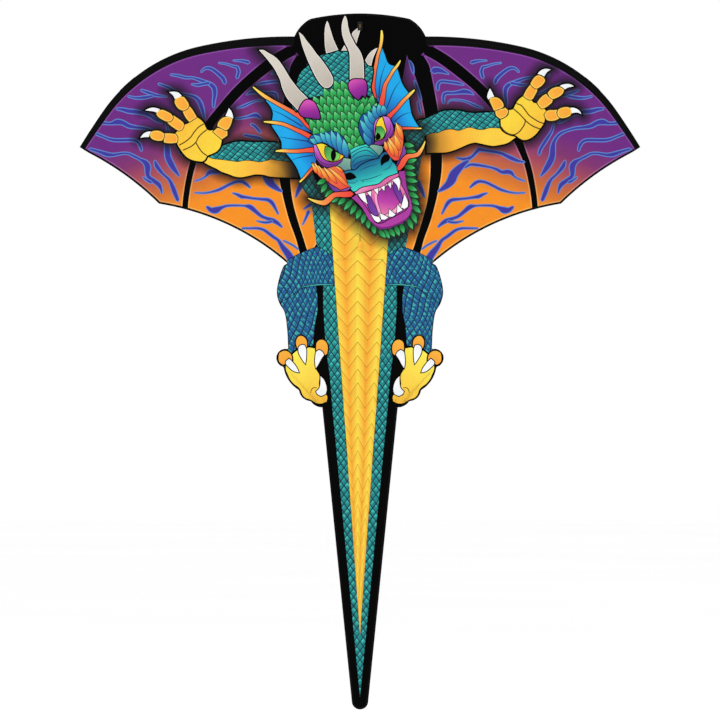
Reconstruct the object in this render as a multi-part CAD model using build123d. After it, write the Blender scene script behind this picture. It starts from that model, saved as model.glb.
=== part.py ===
from build123d import *
import os
from math import cos, radians, sin

# Large single-line dragon kite, front towards -Y, wings along X, nose up.
# The origin is the centre of the upper bridle eyelet, on the kite's centre line.
# All sizes are in millimetres.

# Cloth
CLOTH = 0.6                  # modelled thickness of one layer of sail cloth
SAIL_Y = 14.0                # front face of the sail
SAIL_BACK = SAIL_Y + CLOTH
HEM = 9.0                    # width of the binding tape on free edges

# Crown: a flat dome over the shoulders
CROWN_TOP_Z = 32.5
CROWN_CORNER = (128.0, 19.0)
CROWN_SIDE = (151.0, 1.5)
NOTCH = (169.0, -26.0)       # where the leading edge leaves the crown

# Leading edge: tangent arcs (radius, length), starting at the notch
EDGE_HEADING = 0.97          # degrees above level at the notch
EDGE_ARCS = [(1061.0, 252.0), (411.0, 303.0), (1776.0, 113.0)]
EDGE_LENGTH = sum(length for radius, length in EDGE_ARCS)
BAND = 28.0                  # width of the leading edge band

# Trailing edge: two scallops, each given by its middle and inner end
SCALLOP_1 = [(622.0, -374.0), (521.0, -457.0)]
SCALLOP_2 = [(350.0, -508.0), (187.0, -612.0)]
WING_BOTTOM_Z = -600.0       # the wings end here, the lower body goes on

# Seams between the sail panels, hidden in the wing's dark ribs
SEAM_A = [(170.0, -40.0), (196.0, -290.0), (122.0, -625.0)]
SEAM_B = [(170.0, -48.0), (300.0, -145.0), (400.0, -255.0), (435.0, -355.0), (457.0, -480.0)]

# Lower body: thigh, shin, three toes, then the root of the tail
THIGH = [(187.0, -612.0), (197.0, -617.5), (215.0, -687.0), (195.0, -737.0), (185.0, -833.0)]
TOES = [
    [(216.0, -856.0), (197.0, -879.0)],
    [(183.0, -915.0), (157.0, -939.0)],
    [(147.0, -959.0), (127.0, -967.0)],
    [(114.0, -979.0), (99.0, -983.0)],
]
BODY_BOTTOM_Z = -983.0

# Tail: a long taper in four hinged lengths
TAIL_HALF_TOP = 97.0
TAIL_TIP_RADIUS = 21.0
TAIL_TIP_Z = -1762.0
TAIL_PIECES = 4
TAIL_GAP = 1.2               # cloth left between two lengths, where they bend

# Frame
SPINE_Y = 20.0
SPINE_RADIUS = 3.0
SPINE_TOP_Z = 24.0
SPINE_BOTTOM_Z = -970.0
SPINE_JOIN_Z = -480.0
FERRULE_RADIUS = 4.0
FERRULE_LENGTH = 60.0
EDGE_ROD_RADIUS = 2.0
EDGE_ROD_INSET = 5.0         # rod centre behind the leading edge
EDGE_ROD_START = -145.0      # rod's inner end, along the edge from the notch
EDGE_ROD_END = EDGE_LENGTH - 16.0
SLEEVE_OUTER = 4.9
SLEEVE_INNER = 4.3
CAP_WALL = 1.0
CAP_LENGTH = 14.0
ROD_FIT = 0.25               # play of the curved edge rod in a straight fitting

# Spreader, its soft centre tube and its end fittings
SPREADER_AT = 462.0          # along the leading edge from the notch
SPREADER_RADIUS = 2.5
SPREADER_START_X = 16.0
JOINER_RADIUS = 4.5
JOINER_HALF = 34.0
SADDLE_HALF = 12.0           # half height of the joiner's grip on the spine
SADDLE_WEB = 6.0
SPREADER_Y = SPINE_Y + SLEEVE_OUTER + CLOTH + JOINER_RADIUS
SOCKET_LENGTH = 32.0
CLIP_LENGTH = 24.0
STOP_LENGTH = 6.0
STOP_RADIUS = 3.6
SOCKET_OVERLAP = 3.0         # closed end of the socket
SPREADER_GAP = 7.0           # from the spreader's end to the edge rod's centre
PATCH_LENGTH = 48.0          # wing tip patch, along the edge
WINDOW = 52.0                # bare rod in the leading edge sleeve
SPINE_WINDOW = 36.0          # bare rod in the spine sleeve
POCKET_HEIGHT = 22.0
POCKET_MARGIN = 1.0          # from a pocket's closed end to the edge of the cloth

# Wing hinges
HINGE_X = 8.0
DIHEDRAL = 5.0               # degrees back from flat, at rest
SEAM_GAP = 0.5

# Bridle tabs with an eyelet each
BRIDLE_Z = {"upper": 0.0, "lower": -567.0}
TAB_THICKNESS = 2.4
TAB_HALF_HEIGHT = 11.0
TAB_FRONT_Y = -8.0
TAB_FOOT_HALF = 6.0
EYELET_BORE = 3.0
EYELET_BARREL = 3.8
EYELET_FLANGE = 5.5
FLANGE_THICKNESS = 0.5

FAR = 1000.0                 # beyond the cloth on every side, for cutting outlines

nodes = {}


# Drawing helpers: outlines are drawn flat in X and Z

def plate(outline, front, thickness=CLOTH):
    """A sheet of one outline, with its front face at y = front."""
    return extrude(Plane.XZ.offset(-(front + thickness)) * outline, amount=thickness)


def area(edges):
    return make_face(edges)


def zone(left, right, bottom, top):
    """A rectangle between two sides and two heights, for cutting outlines."""
    return Pos((left + right) / 2, (bottom + top) / 2) * Rectangle(right - left, top - bottom)


def edge_point(distance, inset=0.0):
    """A point beside the leading edge and the edge's heading there, in radians."""
    (x, z), heading = NOTCH, radians(EDGE_HEADING)
    if distance < 0:
        x += distance * cos(heading)
        z += distance * sin(heading)
    for radius, length in EDGE_ARCS:
        turn = min(max(distance, 0.0), length) / radius
        x += radius * (sin(heading) - sin(heading - turn))
        z += radius * (cos(heading - turn) - cos(heading))
        heading -= turn
        distance -= length
    return (x + inset * sin(heading), z - inset * cos(heading)), heading


def edge_line(start, end, inset=0.0):
    """The edges of the leading edge between two distances along it."""
    stops = [start]
    joint = 0.0
    for length in [0.0] + [length for radius, length in EDGE_ARCS]:
        joint += length
        if start < joint < end:
            stops.append(joint)
    stops.append(end)
    edges = []
    for low, high in zip(stops, stops[1:]):
        ends = [edge_point(s, inset)[0] for s in (low, (low + high) / 2, high)]
        edges.append(Line(ends[0], ends[2]) if high <= 0 else ThreePointArc(*ends))
    return edges


def edge_tube(section, start, end):
    """A section swept along the leading edge, where its rod runs."""
    path = Wire(edge_line(start, end, EDGE_ROD_INSET))
    path = Plane.XZ.offset(-SPINE_Y) * path
    return sweep(Plane(origin=path @ 0, z_dir=path % 0) * section, path=path)


def edge_frame(distance, depth=SPINE_Y):
    """A plane on the leading edge rod, its normal along the rod."""
    (x, z), heading = edge_point(distance, EDGE_ROD_INSET)
    return Plane(origin=(x, depth, z), x_dir=(0, 1, 0), z_dir=(cos(heading), 0, sin(heading)))


def along_z(radius, low, high, y=SPINE_Y):
    return Pos(0, y, (low + high) / 2) * Cylinder(radius, high - low)


def along_x(radius, low, high, y, z):
    return Pos((low + high) / 2, y, z) * Rot(0, 90, 0) * Cylinder(radius, high - low)


def swung_back(solid, side=1):
    """A right wing piece, or its mirror image on side -1, turned back by the dihedral."""
    placed = solid if side > 0 else mirror(solid, about=Plane.YZ)
    return placed.rotate(Axis((side * HINGE_X, SPINE_Y, 0), (0, 0, 1)), side * DIHEDRAL)


def both_sides(name, solid):
    nodes[f"{name}_right"] = swung_back(solid)
    nodes[f"{name}_left"] = swung_back(solid, -1)


# Spine: two rods in a ferrule, with a cap on each end

nodes["spine_rod_upper"] = along_z(SPINE_RADIUS, SPINE_JOIN_Z, SPINE_TOP_Z)
nodes["spine_rod_lower"] = along_z(SPINE_RADIUS, SPINE_BOTTOM_Z, SPINE_JOIN_Z)
ferrule_ends = (SPINE_JOIN_Z - FERRULE_LENGTH / 2, SPINE_JOIN_Z + FERRULE_LENGTH / 2)
nodes["spine_ferrule"] = along_z(FERRULE_RADIUS, *ferrule_ends) - along_z(SPINE_RADIUS, *ferrule_ends)

cap_radius = SPINE_RADIUS + CAP_WALL
caps = along_z(cap_radius, SPINE_TOP_Z - CAP_LENGTH + CAP_WALL, SPINE_TOP_Z + CAP_WALL)
caps += along_z(cap_radius, SPINE_BOTTOM_Z - CAP_WALL, SPINE_BOTTOM_Z + CAP_LENGTH - CAP_WALL)
nodes["spine_caps"] = caps - along_z(SPINE_RADIUS, SPINE_BOTTOM_Z, SPINE_TOP_Z)


# Spine sleeve: a tunnel of cloth sewn to the back of the sail, open at the centre fitting

def spine_tunnel(low, high):
    tunnel = Circle(SLEEVE_OUTER) - Circle(SLEEVE_INNER)
    tunnel -= Pos(0, -SLEEVE_OUTER) * Rectangle(2 * SLEEVE_OUTER, 2 * SLEEVE_OUTER)
    depth = SPINE_Y - SAIL_BACK
    for side in (-1, 1):
        wall_x = side * (SLEEVE_OUTER + SLEEVE_INNER) / 2
        flange = HINGE_X - SLEEVE_INNER
        tunnel += Pos(wall_x, -depth / 2) * Rectangle(CLOTH, depth)
        tunnel += Pos(side * (SLEEVE_INNER + flange / 2), CLOTH / 2 - depth) * Rectangle(flange, CLOTH)
    return extrude(Plane((0, SPINE_Y, low)) * tunnel, amount=high - low)


spreader_z = edge_point(SPREADER_AT, EDGE_ROD_INSET)[0][1]
nodes["spine_sleeve_upper"] = spine_tunnel(spreader_z + SPINE_WINDOW / 2, CROWN_TOP_Z - POCKET_HEIGHT)
nodes["spine_sleeve_lower"] = spine_tunnel(BODY_BOTTOM_Z + POCKET_HEIGHT, spreader_z - SPINE_WINDOW / 2)


# End pockets: stitched webbing caps that hold the spine's ends

def pocket(closed_z, open_z):
    """A webbing pocket on the back of the sail, closed at one end."""
    low, high = sorted((closed_z, open_z))
    inner_low, inner_high = sorted((closed_z + (CAP_WALL if open_z > closed_z else -CAP_WALL), open_z))
    outer_depth = SPINE_Y + SLEEVE_OUTER + CLOTH - SAIL_BACK
    inner_depth = outer_depth - CAP_WALL
    outer = Box(2 * HINGE_X, outer_depth, high - low, align=(Align.CENTER, Align.MIN, Align.MIN))
    inner = Box(2 * HINGE_X - 2 * CAP_WALL, inner_depth, inner_high - inner_low,
                align=(Align.CENTER, Align.MIN, Align.MIN))
    return Pos(0, SAIL_BACK, low) * outer - Pos(0, SAIL_BACK, inner_low) * inner


nodes["nose_pocket"] = pocket(CROWN_TOP_Z - POCKET_MARGIN, CROWN_TOP_Z - POCKET_HEIGHT)
nodes["tail_pocket"] = pocket(BODY_BOTTOM_Z + POCKET_MARGIN, BODY_BOTTOM_Z + POCKET_HEIGHT)


# Centre fitting: a soft tee on the spine, whose cross tube takes both spreader rods

def joiner_arms(radius):
    arm = along_x(radius, -radius, JOINER_HALF, SPREADER_Y, spreader_z)
    return swung_back(arm) + swung_back(arm, -1)


saddle_depth = SPREADER_Y - SPINE_Y
saddle_ends = (spreader_z - SADDLE_HALF, spreader_z + SADDLE_HALF)
joiner = joiner_arms(JOINER_RADIUS) + along_z(cap_radius, *saddle_ends)
joiner += Pos(0, SPINE_Y + saddle_depth / 2, spreader_z) * Box(JOINER_RADIUS, saddle_depth, SADDLE_WEB)
joiner -= joiner_arms(SPREADER_RADIUS)
joiner -= along_z(SPINE_RADIUS, *saddle_ends)
nodes["centre_joiner"] = joiner


# Bridle tabs: folded webbing that stands forward from the spine, with a brass eyelet

for place, height in BRIDLE_Z.items():
    tab_depth = SAIL_Y - TAB_FRONT_Y
    tab = Pos(0, (SAIL_Y + TAB_FRONT_Y) / 2, height) * Box(TAB_THICKNESS, tab_depth, 2 * TAB_HALF_HEIGHT)
    nose = tab.edges().filter_by(Axis.X).group_by(Axis.Y)[0]
    tab = fillet(nose, EYELET_FLANGE)
    tab += Pos(0, SAIL_Y - CAP_WALL / 2, height) * Box(2 * TAB_FOOT_HALF, CAP_WALL, 2 * TAB_HALF_HEIGHT)
    half = TAB_THICKNESS / 2
    tab -= along_x(EYELET_BARREL, -half, half, 0, height)
    nodes[f"bridle_tab_{place}"] = tab
    eyelet = along_x(EYELET_BARREL, -half, half, 0, height)
    eyelet += along_x(EYELET_FLANGE, -half - FLANGE_THICKNESS, -half, 0, height)
    eyelet += along_x(EYELET_FLANGE, half, half + FLANGE_THICKNESS, 0, height)
    nodes[f"bridle_eyelet_{place}"] = eyelet - along_x(EYELET_BORE, -2 * half, 2 * half, 0, height)


# Sail outline of the right half, inside the leading edge band

crown = [
    ThreePointArc((-CROWN_CORNER[0], CROWN_CORNER[1]), (0, CROWN_TOP_Z), CROWN_CORNER),
    ThreePointArc(CROWN_CORNER, CROWN_SIDE, NOTCH),
]
band_inner_start = edge_point(0, BAND)[0]
band_inner_end = edge_point(EDGE_LENGTH, BAND)[0]
half_sail = area([
    *crown,
    Line(NOTCH, band_inner_start),
    *edge_line(0, EDGE_LENGTH, BAND),
    ThreePointArc(band_inner_end, *SCALLOP_1),
    ThreePointArc(SCALLOP_1[1], *SCALLOP_2),
    Line(SCALLOP_2[1], (-CROWN_CORNER[0], SCALLOP_2[1][1])),
    Line((-CROWN_CORNER[0], SCALLOP_2[1][1]), (-CROWN_CORNER[0], CROWN_CORNER[1])),
])
nodes["spine_strip"] = plate(half_sail & zone(-HINGE_X, HINGE_X, WING_BOTTOM_Z, FAR), SAIL_Y)

# Wing panels: torso, middle and outer, divided by the two seams

torso_zone = area([
    ThreePointArc(*SEAM_A),
    Polyline(SEAM_A[2], (0, -FAR), (-FAR, 0), (0, FAR), (SEAM_A[0][0], FAR), SEAM_A[0]),
])
outer_zone = area([
    ThreePointArc(*SEAM_B[:3]),
    ThreePointArc(*SEAM_B[2:]),
    Polyline(SEAM_B[4], (SEAM_B[4][0], -FAR), (FAR, -FAR), (FAR, FAR), (SEAM_B[0][0], FAR), SEAM_B[0]),
])
wing_sail = half_sail & zone(HINGE_X + SEAM_GAP, FAR, WING_BOTTOM_Z, FAR)
both_sides("torso_panel", plate(wing_sail & torso_zone, SAIL_Y))
both_sides("outer_wing_panel", plate((wing_sail - torso_zone) & outer_zone, SAIL_Y))
both_sides("inner_wing_panel", plate(wing_sail - torso_zone - outer_zone, SAIL_Y))


# Leading edge: rod in a sewn sleeve, caps on its ends and a patch at the wing tip

both_sides("leading_edge_rod", edge_tube(Circle(EDGE_ROD_RADIUS), EDGE_ROD_START, EDGE_ROD_END))

sleeve = plate(area([
    *edge_line(0, EDGE_LENGTH),
    Line(edge_point(EDGE_LENGTH)[0], band_inner_end),
    *edge_line(0, EDGE_LENGTH, BAND),
    Line(band_inner_start, NOTCH),
]), SAIL_Y, 2 * CLOTH)
flange_width = 2 * EDGE_ROD_INSET
crown_end = EDGE_ROD_START - CAP_WALL
sleeve += plate(area([
    *edge_line(crown_end, 0),
    Line(NOTCH, edge_point(0, flange_width)[0]),
    *edge_line(crown_end, 0, flange_width),
    Line(edge_point(crown_end, flange_width)[0], edge_point(crown_end)[0]),
]), SAIL_BACK)
tunnel = edge_tube(Circle(SLEEVE_OUTER) - Circle(SLEEVE_INNER), crown_end, EDGE_LENGTH - CLOTH)
sleeve += tunnel - edge_frame(SPREADER_AT) * Box(BAND, BAND, WINDOW)
both_sides("leading_edge_sleeve", sleeve)

edge_cap = Cylinder(EDGE_ROD_RADIUS + CAP_WALL, CAP_LENGTH) - Pos(0, 0, -CAP_WALL) * Cylinder(
    EDGE_ROD_RADIUS, CAP_LENGTH)
both_sides("edge_rod_cap", edge_frame(EDGE_ROD_END - CAP_LENGTH / 2 + CAP_WALL) * edge_cap)

patch_start = EDGE_LENGTH - PATCH_LENGTH
patch = area([
    *edge_line(patch_start, EDGE_LENGTH, flange_width),
    Line(edge_point(EDGE_LENGTH, flange_width)[0], band_inner_end),
    *edge_line(patch_start, EDGE_LENGTH, BAND),
    Line(edge_point(patch_start, BAND)[0], edge_point(patch_start, flange_width)[0]),
])
both_sides("wing_tip_patch", plate(patch, SAIL_BACK + CLOTH, CLOTH))


# Spreader: one rod a side, into a moulded fitting clipped on the leading edge rod

clip_x = edge_point(SPREADER_AT, EDGE_ROD_INSET)[0][0]
spreader_end_x = clip_x - SPREADER_GAP
socket_start_x = spreader_end_x - SOCKET_LENGTH
socket_end_x = spreader_end_x + SOCKET_OVERLAP
both_sides("spreader_rod", along_x(SPREADER_RADIUS, SPREADER_START_X, spreader_end_x, SPREADER_Y, spreader_z))

clip = edge_frame(SPREADER_AT)
fitting = clip * Cylinder(JOINER_RADIUS, CLIP_LENGTH)
fitting += along_x(JOINER_RADIUS, socket_start_x, socket_end_x, SPREADER_Y, spreader_z)
fitting += Pos(clip_x - JOINER_RADIUS, SPINE_Y + saddle_depth / 2, spreader_z) * Box(
    CLIP_LENGTH / 2, saddle_depth, JOINER_RADIUS)
fitting -= clip * Cylinder(EDGE_ROD_RADIUS + ROD_FIT, 3 * CLIP_LENGTH)
fitting -= along_x(SPREADER_RADIUS, socket_start_x, spreader_end_x, SPREADER_Y, spreader_z)
both_sides("spreader_fitting", fitting)

stop = Cylinder(STOP_RADIUS, STOP_LENGTH) - Cylinder(EDGE_ROD_RADIUS + ROD_FIT, STOP_LENGTH)
stop_offset = (CLIP_LENGTH + STOP_LENGTH) / 2 + CAP_WALL
stops = [edge_frame(SPREADER_AT + side * stop_offset) * stop for side in (-1, 1)]
both_sides("stop_clips", Compound([ring.solid() for ring in stops]))


# Binding tape on the back of the wing's trailing edge

def scallop_tape(start, middle, end):
    """A strip along one scallop, inside the sail."""
    outer = ThreePointArc(start, middle, end)
    centre, scale = outer.arc_center, 1 + HEM / outer.radius
    inner = [centre + (Vector(*point) - centre) * scale for point in (start, middle, end)]
    return area([outer, Line(end, inner[2]), ThreePointArc(*inner), Line(inner[0], start)])


tape = scallop_tape(band_inner_end, *SCALLOP_1) + scallop_tape(SCALLOP_1[1], *SCALLOP_2)
both_sides("trailing_edge_tape", plate(tape & wing_sail, SAIL_BACK))


# Lower body: thighs, shins, feet and the root of the tail, in one panel behind the spine's end

toe_edges = []
toe_start = THIGH[-1]
for middle, end in TOES:
    toe_edges.append(ThreePointArc(toe_start, middle, end))
    toe_start = end
body_top = WING_BOTTOM_Z - SEAM_GAP
half_body = area([
    Polyline((0, body_top), (THIGH[0][0] + 14.0, body_top), THIGH[0]),
    Spline(*THIGH),
    *toe_edges,
    Polyline(TOES[-1][1], (0, BODY_BOTTOM_Z), (0, body_top)),
])
lower_body = half_body + mirror(half_body, about=Plane.YZ)
nodes["lower_body_panel"] = plate(lower_body, SAIL_Y)


# Tail: four lengths of one long taper, each hinged to the one above

def tail_half_width(z):
    """Half width of the straight taper, which meets the round tip on a tangent."""
    fraction = (BODY_BOTTOM_Z - z) / (BODY_BOTTOM_Z - TAIL_TIP_Z - TAIL_TIP_RADIUS)
    return TAIL_HALF_TOP + (TAIL_TIP_RADIUS - TAIL_HALF_TOP) * fraction


piece_length = (BODY_BOTTOM_Z - TAIL_TIP_Z) / TAIL_PIECES
for number in range(TAIL_PIECES):
    top = BODY_BOTTOM_Z - number * piece_length - TAIL_GAP
    bottom = BODY_BOTTOM_Z - (number + 1) * piece_length
    last = number == TAIL_PIECES - 1
    low = TAIL_TIP_Z + TAIL_TIP_RADIUS if last else bottom
    top_half, low_half = tail_half_width(top), tail_half_width(low)
    foot = ThreePointArc((low_half, low), (0, bottom), (-low_half, low)) if last else Line(
        (low_half, low), (-low_half, low))
    length = area([
        Polyline((-low_half, low), (-top_half, top), (top_half, top), (low_half, low)),
        foot,
    ])
    nodes[f"tail_panel_{number + 1}"] = plate(length, SAIL_Y)


os.makedirs("parts", exist_ok=True)
for name, node in nodes.items():
    node.label = name
    export_step(node, f"parts/{name}.step")
print(f"{len(nodes)} nodes")
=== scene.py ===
from math import cos, pi, radians, sin

import bmesh
import bpy
import numpy as np
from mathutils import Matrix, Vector, geometry, kdtree


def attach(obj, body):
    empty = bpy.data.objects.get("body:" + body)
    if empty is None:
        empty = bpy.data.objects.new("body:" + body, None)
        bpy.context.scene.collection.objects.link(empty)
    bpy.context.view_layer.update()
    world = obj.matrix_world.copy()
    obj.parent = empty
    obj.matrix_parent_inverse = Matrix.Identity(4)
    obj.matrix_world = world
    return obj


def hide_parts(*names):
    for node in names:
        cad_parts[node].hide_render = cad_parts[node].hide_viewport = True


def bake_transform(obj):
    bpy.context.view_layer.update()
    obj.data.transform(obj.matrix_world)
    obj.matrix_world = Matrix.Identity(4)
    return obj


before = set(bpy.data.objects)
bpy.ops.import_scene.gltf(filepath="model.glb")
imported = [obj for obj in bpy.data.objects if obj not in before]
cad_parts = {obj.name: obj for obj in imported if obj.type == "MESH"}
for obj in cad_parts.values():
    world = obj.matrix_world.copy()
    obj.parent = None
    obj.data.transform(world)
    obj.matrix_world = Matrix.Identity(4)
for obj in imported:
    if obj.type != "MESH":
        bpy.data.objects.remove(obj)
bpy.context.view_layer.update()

# Camera: level with the middle of the kite, straight in front of it and so far off that the
# kite is seen almost without perspective. FIELD is the width it takes in at the sail, in metres.
DISTANCE, SAIL_DEPTH, FIELD, FILM = 30.0, 0.02, 1.857, 36.0


def placed(name, data):
    """A new object from a mesh, light or camera, put in the scene."""
    made = bpy.data.objects.new(name, data)
    bpy.context.scene.collection.objects.link(made)
    return made


camera = placed("camera", bpy.data.cameras.new("camera"))
camera.location = (0.0, -DISTANCE, -0.861)
camera.rotation_euler = (radians(90), 0, 0)
camera.data.lens = FILM * (DISTANCE + SAIL_DEPTH) / FIELD
camera.data.clip_end = 200
bpy.context.scene.camera = camera
bpy.context.scene.view_settings.view_transform = "Standard"


# Floor and studio: a wide pale paper floor under the kite, a large soft light on the left and a
# weaker one on the right, and even white light all round.
FLOOR_RADIUS, FLOOR_Z, FLOOR_SIDES = 40, -1.83, 48


def colour(mix):
    """A hex mix as linear light."""
    channels = [int(mix[i:i + 2], 16) / 255 for i in (0, 2, 4)]
    return [c / 12.92 if c < 0.04045 else ((c + 0.055) / 1.055) ** 2.4 for c in channels] + [1.0]


def new_material(name, roughness=0.5, specular=0.5, metallic=0.0):
    """A material with its node tree and its shader."""
    material = bpy.data.materials.new(name)
    material.use_nodes = True
    shader = material.node_tree.nodes["Principled BSDF"]
    shader.inputs["Roughness"].default_value = roughness
    shader.inputs["Specular IOR Level"].default_value = specular
    shader.inputs["Metallic"].default_value = metallic
    return material, material.node_tree, shader


def node(tree, kind, **settings):
    """A shader node with its sockets or properties set."""
    made = tree.nodes.new("ShaderNode" + kind)
    for key, value in settings.items():
        if key in made.inputs:
            made.inputs[key].default_value = value
        else:
            setattr(made, key, value)
    return made


def ramp(tree, value, stops):
    """Colour mixes laid out along a value, as (place, mix) stops."""
    made = tree.nodes.new("ShaderNodeValToRGB")
    while len(made.color_ramp.elements) < len(stops):
        made.color_ramp.elements.new(0.5)
    for element, (at, mix) in zip(made.color_ramp.elements, stops):
        element.position = at
    for element, (at, mix) in zip(made.color_ramp.elements, stops):
        element.color = colour(mix)
    tree.links.new(value, made.inputs[0])
    return made.outputs[0]


paper = bpy.data.meshes.new("pale_floor")
round_floor = [2 * pi * side / FLOOR_SIDES for side in range(FLOOR_SIDES)]
paper.from_pydata([(FLOOR_RADIUS * cos(turn), FLOOR_RADIUS * sin(turn), FLOOR_Z) for turn in round_floor],
                  [],
                  [range(FLOOR_SIDES)])
floor = placed("pale_floor", paper)
material, tree, shader = new_material("matt_paper", 0.9, 0.1)
grain = node(tree, "TexNoise", Scale=40.0)
tree.links.new(ramp(tree, grain.outputs["Fac"], [(0.3, "FDFDFD"), (0.7, "FFFFFF")]),
               shader.inputs["Base Color"])
paper.materials.append(material)

for name, place, size, power in (
        ("soft_light_left", (-3.0, -5.0, 2.2), 3.0, 110.0), ("soft_light_right", (3.5, -4.5, -0.2),
                                                             3.0, 48.0)):
    light = placed(name, bpy.data.lights.new(name, "AREA"))
    light.data.size = size
    light.data.energy = power
    light.location = place
    light.rotation_euler = (Vector((0, 0, -0.8)) - Vector(place)).to_track_quat("-Z", "Y").to_euler()
world = bpy.data.worlds.new("even_light")
world.use_nodes = True
world.node_tree.nodes["Background"].inputs["Color"].default_value = (1, 1, 1, 1)
world.node_tree.nodes["Background"].inputs["Strength"].default_value = 1.0
bpy.context.scene.world = world


# Sail cut: the sail is ripstop nylon, cut and printed flat and then stretched on the frame. It is
# drawn in millimetres, x to the right and z up from the upper eyelet. Each leading edge is three
# arcs, and each trailing edge two scallops.
DIHEDRAL, HINGE_X, SPINE_Y, SAIL_Y, BAND, HEM = radians(5), 8.0, 20.0, 14.0, 28.0, 5.0
WING_FOOT, BODY_FOOT, TAIL_TIP = -600.0, -983.0, -1762.0
EDGE_ARCS = [(1061.0, 252.0), (411.0, 303.0), (1776.0, 113.0)]
EDGE_LENGTH = sum(length for radius, length in EDGE_ARCS)


def edge_point(distance, inset=0.0):
    """A point along the right leading edge from the notch beside the crown, and inset from it."""
    x, z, heading = 169.0, -26.0, radians(0.97)
    if distance < 0:
        x, z = x + distance * cos(heading), z + distance * sin(heading)
    for radius, length in EDGE_ARCS:
        turn = min(max(distance, 0.0), length) / radius
        x += radius * (sin(heading) - sin(heading - turn))
        z += radius * (cos(heading - turn) - cos(heading))
        heading -= turn
        distance -= length
    return x + inset * sin(heading), z - inset * cos(heading)


def band_width(distance):
    """The leading edge band is widest beside the crown and narrows to the tip."""
    return float(np.interp(distance, (0, 250, 450, 600, EDGE_LENGTH), (24, 21, 20, 17, 15)))


def arc(start, middle, end, count):
    """Points on the circle through three points, from start up to end."""
    (ax, az), (bx, bz), (cx, cz) = start, middle, end
    d = 2 * (ax * (bz - cz) + bx * (cz - az) + cx * (az - bz))
    a2, b2, c2 = ax * ax + az * az, bx * bx + bz * bz, cx * cx + cz * cz
    ux = (a2 * (bz - cz) + b2 * (cz - az) + c2 * (az - bz)) / d
    uz = (a2 * (cx - bx) + b2 * (ax - cx) + c2 * (bx - ax)) / d
    radius = np.hypot(ax - ux, az - uz)
    a0, a1, a2 = (np.arctan2(z - uz, x - ux) for x, z in (start, middle, end))
    turn = (a2 - a0) % (2 * pi)
    if (a1 - a0) % (2 * pi) > turn:
        turn -= 2 * pi
    return [(ux + radius * cos(a0 + turn * i / count), uz + radius * sin(a0 + turn * i / count))
            for i in range(count + 1)]


def lengths(vectors):
    return np.maximum(np.hypot(vectors[:, 0], vectors[:, 1]), 1e-6)[:, None]


def twice_area(outline):
    """Twice an outline's area, positive when it runs anticlockwise."""
    x, z = outline[:, 0], outline[:, 1]
    return np.sum(x * np.roll(z, -1) - np.roll(x, -1) * z)


def smooth(points, closed=True, step=4.0):
    """Points on a smooth line through the given ones. Turns over 50 degrees stay sharp."""
    p = np.array(points, float)
    before, after = np.roll(p, 1, 0), np.roll(p, -1, 0)
    heading_in = np.arctan2(*(p - before)[:, 1::-1].T)
    heading_out = np.arctan2(*(after - p)[:, 1::-1].T)
    sharp = abs((heading_out - heading_in + pi) % (2 * pi) - pi) > radians(50)
    if not closed:
        sharp[[0, -1]] = True
    reach = (after - before) / lengths(after - before)
    line = []
    for i in range(len(p) if closed else len(p) - 1):
        j = (i + 1) % len(p)
        chord = p[j] - p[i]
        length = max(np.hypot(chord[0], chord[1]), 1e-6)
        leave = chord if sharp[i] else reach[i] * length
        arrive = chord if sharp[j] else reach[j] * length
        t = np.linspace(0, 1, max(1, round(length / step)), endpoint=False)[:, None]
        line.append((2 * t**3 - 3 * t**2 + 1) * p[i] + (t**3 - 2 * t**2 + t) * leave
                    + (3 * t**2 - 2 * t**3) * p[j] + (t**3 - t**2) * arrive)
    if not closed:
        line.append(p[-1:])
    return np.vstack(line)


def grown(outline, by):
    """An outline moved outwards all round."""
    p = np.array(outline, float)
    edge = np.roll(p, -1, 0) - p
    edge /= lengths(edge)
    normal = np.stack([edge[:, 1], -edge[:, 0]], 1) * np.sign(twice_area(p))
    out = normal + np.roll(normal, 1, 0)
    return p + out / lengths(out) * by * np.minimum(2 / lengths(out), 1.8)


def ribbon(points, extra=0.0):
    """The outline of a brush stroke through (x, z, width) points, with rounded ends."""
    p = smooth(points, False, 5.0)
    along = np.gradient(p[:, :2], axis=0)
    along /= lengths(along)
    side = np.stack([-along[:, 1], along[:, 0]], 1)
    half = np.maximum(p[:, 2:3] / 2 + extra, 0.3)
    tips = p[0, :2] - along[0] * half[0], p[-1, :2] + along[-1] * half[-1]
    return np.vstack([[tips[0]], p[:, :2] + side * half, [tips[1]], (p[:, :2] - side * half)[::-1]])


def inside(outline, points):
    """Which points lie inside an outline."""
    found = np.zeros(len(points), bool)
    for (ax, az), (bx, bz) in zip(outline, np.roll(outline, -1, 0)):
        if az != bz:
            cut = (az > points[:, 1]) != (bz > points[:, 1])
            found ^= cut & (points[:, 0] < ax + (points[:, 1] - az) * (bx - ax) / (bz - az))
    return found


# The print is a list of shapes from the bottom up. Each has an ink, an outline, a layer (0 sail,
# 1 arms, 2 head: a layer throws a soft printed shadow on those below) and a tone axis, the line
# along which its ink runs from its first mix to its last.
art = []
layer = 0


def shape(ink, outline, axis=None, rim=0.0, rim_ink="black"):
    """One shape of the print, on top of a wider one in the rim's ink."""
    outline = np.array(outline, float)[:, :2]
    if rim:
        art.append((rim_ink, grown(outline, rim), layer, None))
    art.append((ink, outline, layer, axis))


def drawn(ink, points, axis=None, rim=0.0, sides=(1,), rim_ink="black"):
    """A smooth closed shape, on one side or mirrored to both."""
    for side in sides:
        shape(ink, smooth([(side * x, z) for x, z in points]),
              axis and [(side * x, z) for x, z in axis], rim, rim_ink)


def stroke(ink, points, rim=0.0, sides=(1,), rim_ink="black", axis=False):
    """A brush stroke through (x, z, width) points."""
    for side in sides:
        line = [(side * x, z, w) for x, z, w in points]
        if rim:
            shape(rim_ink, ribbon(line, rim))
        shape(ink, ribbon(line), (line[0][:2], line[-1][:2]) if axis else None)


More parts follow.
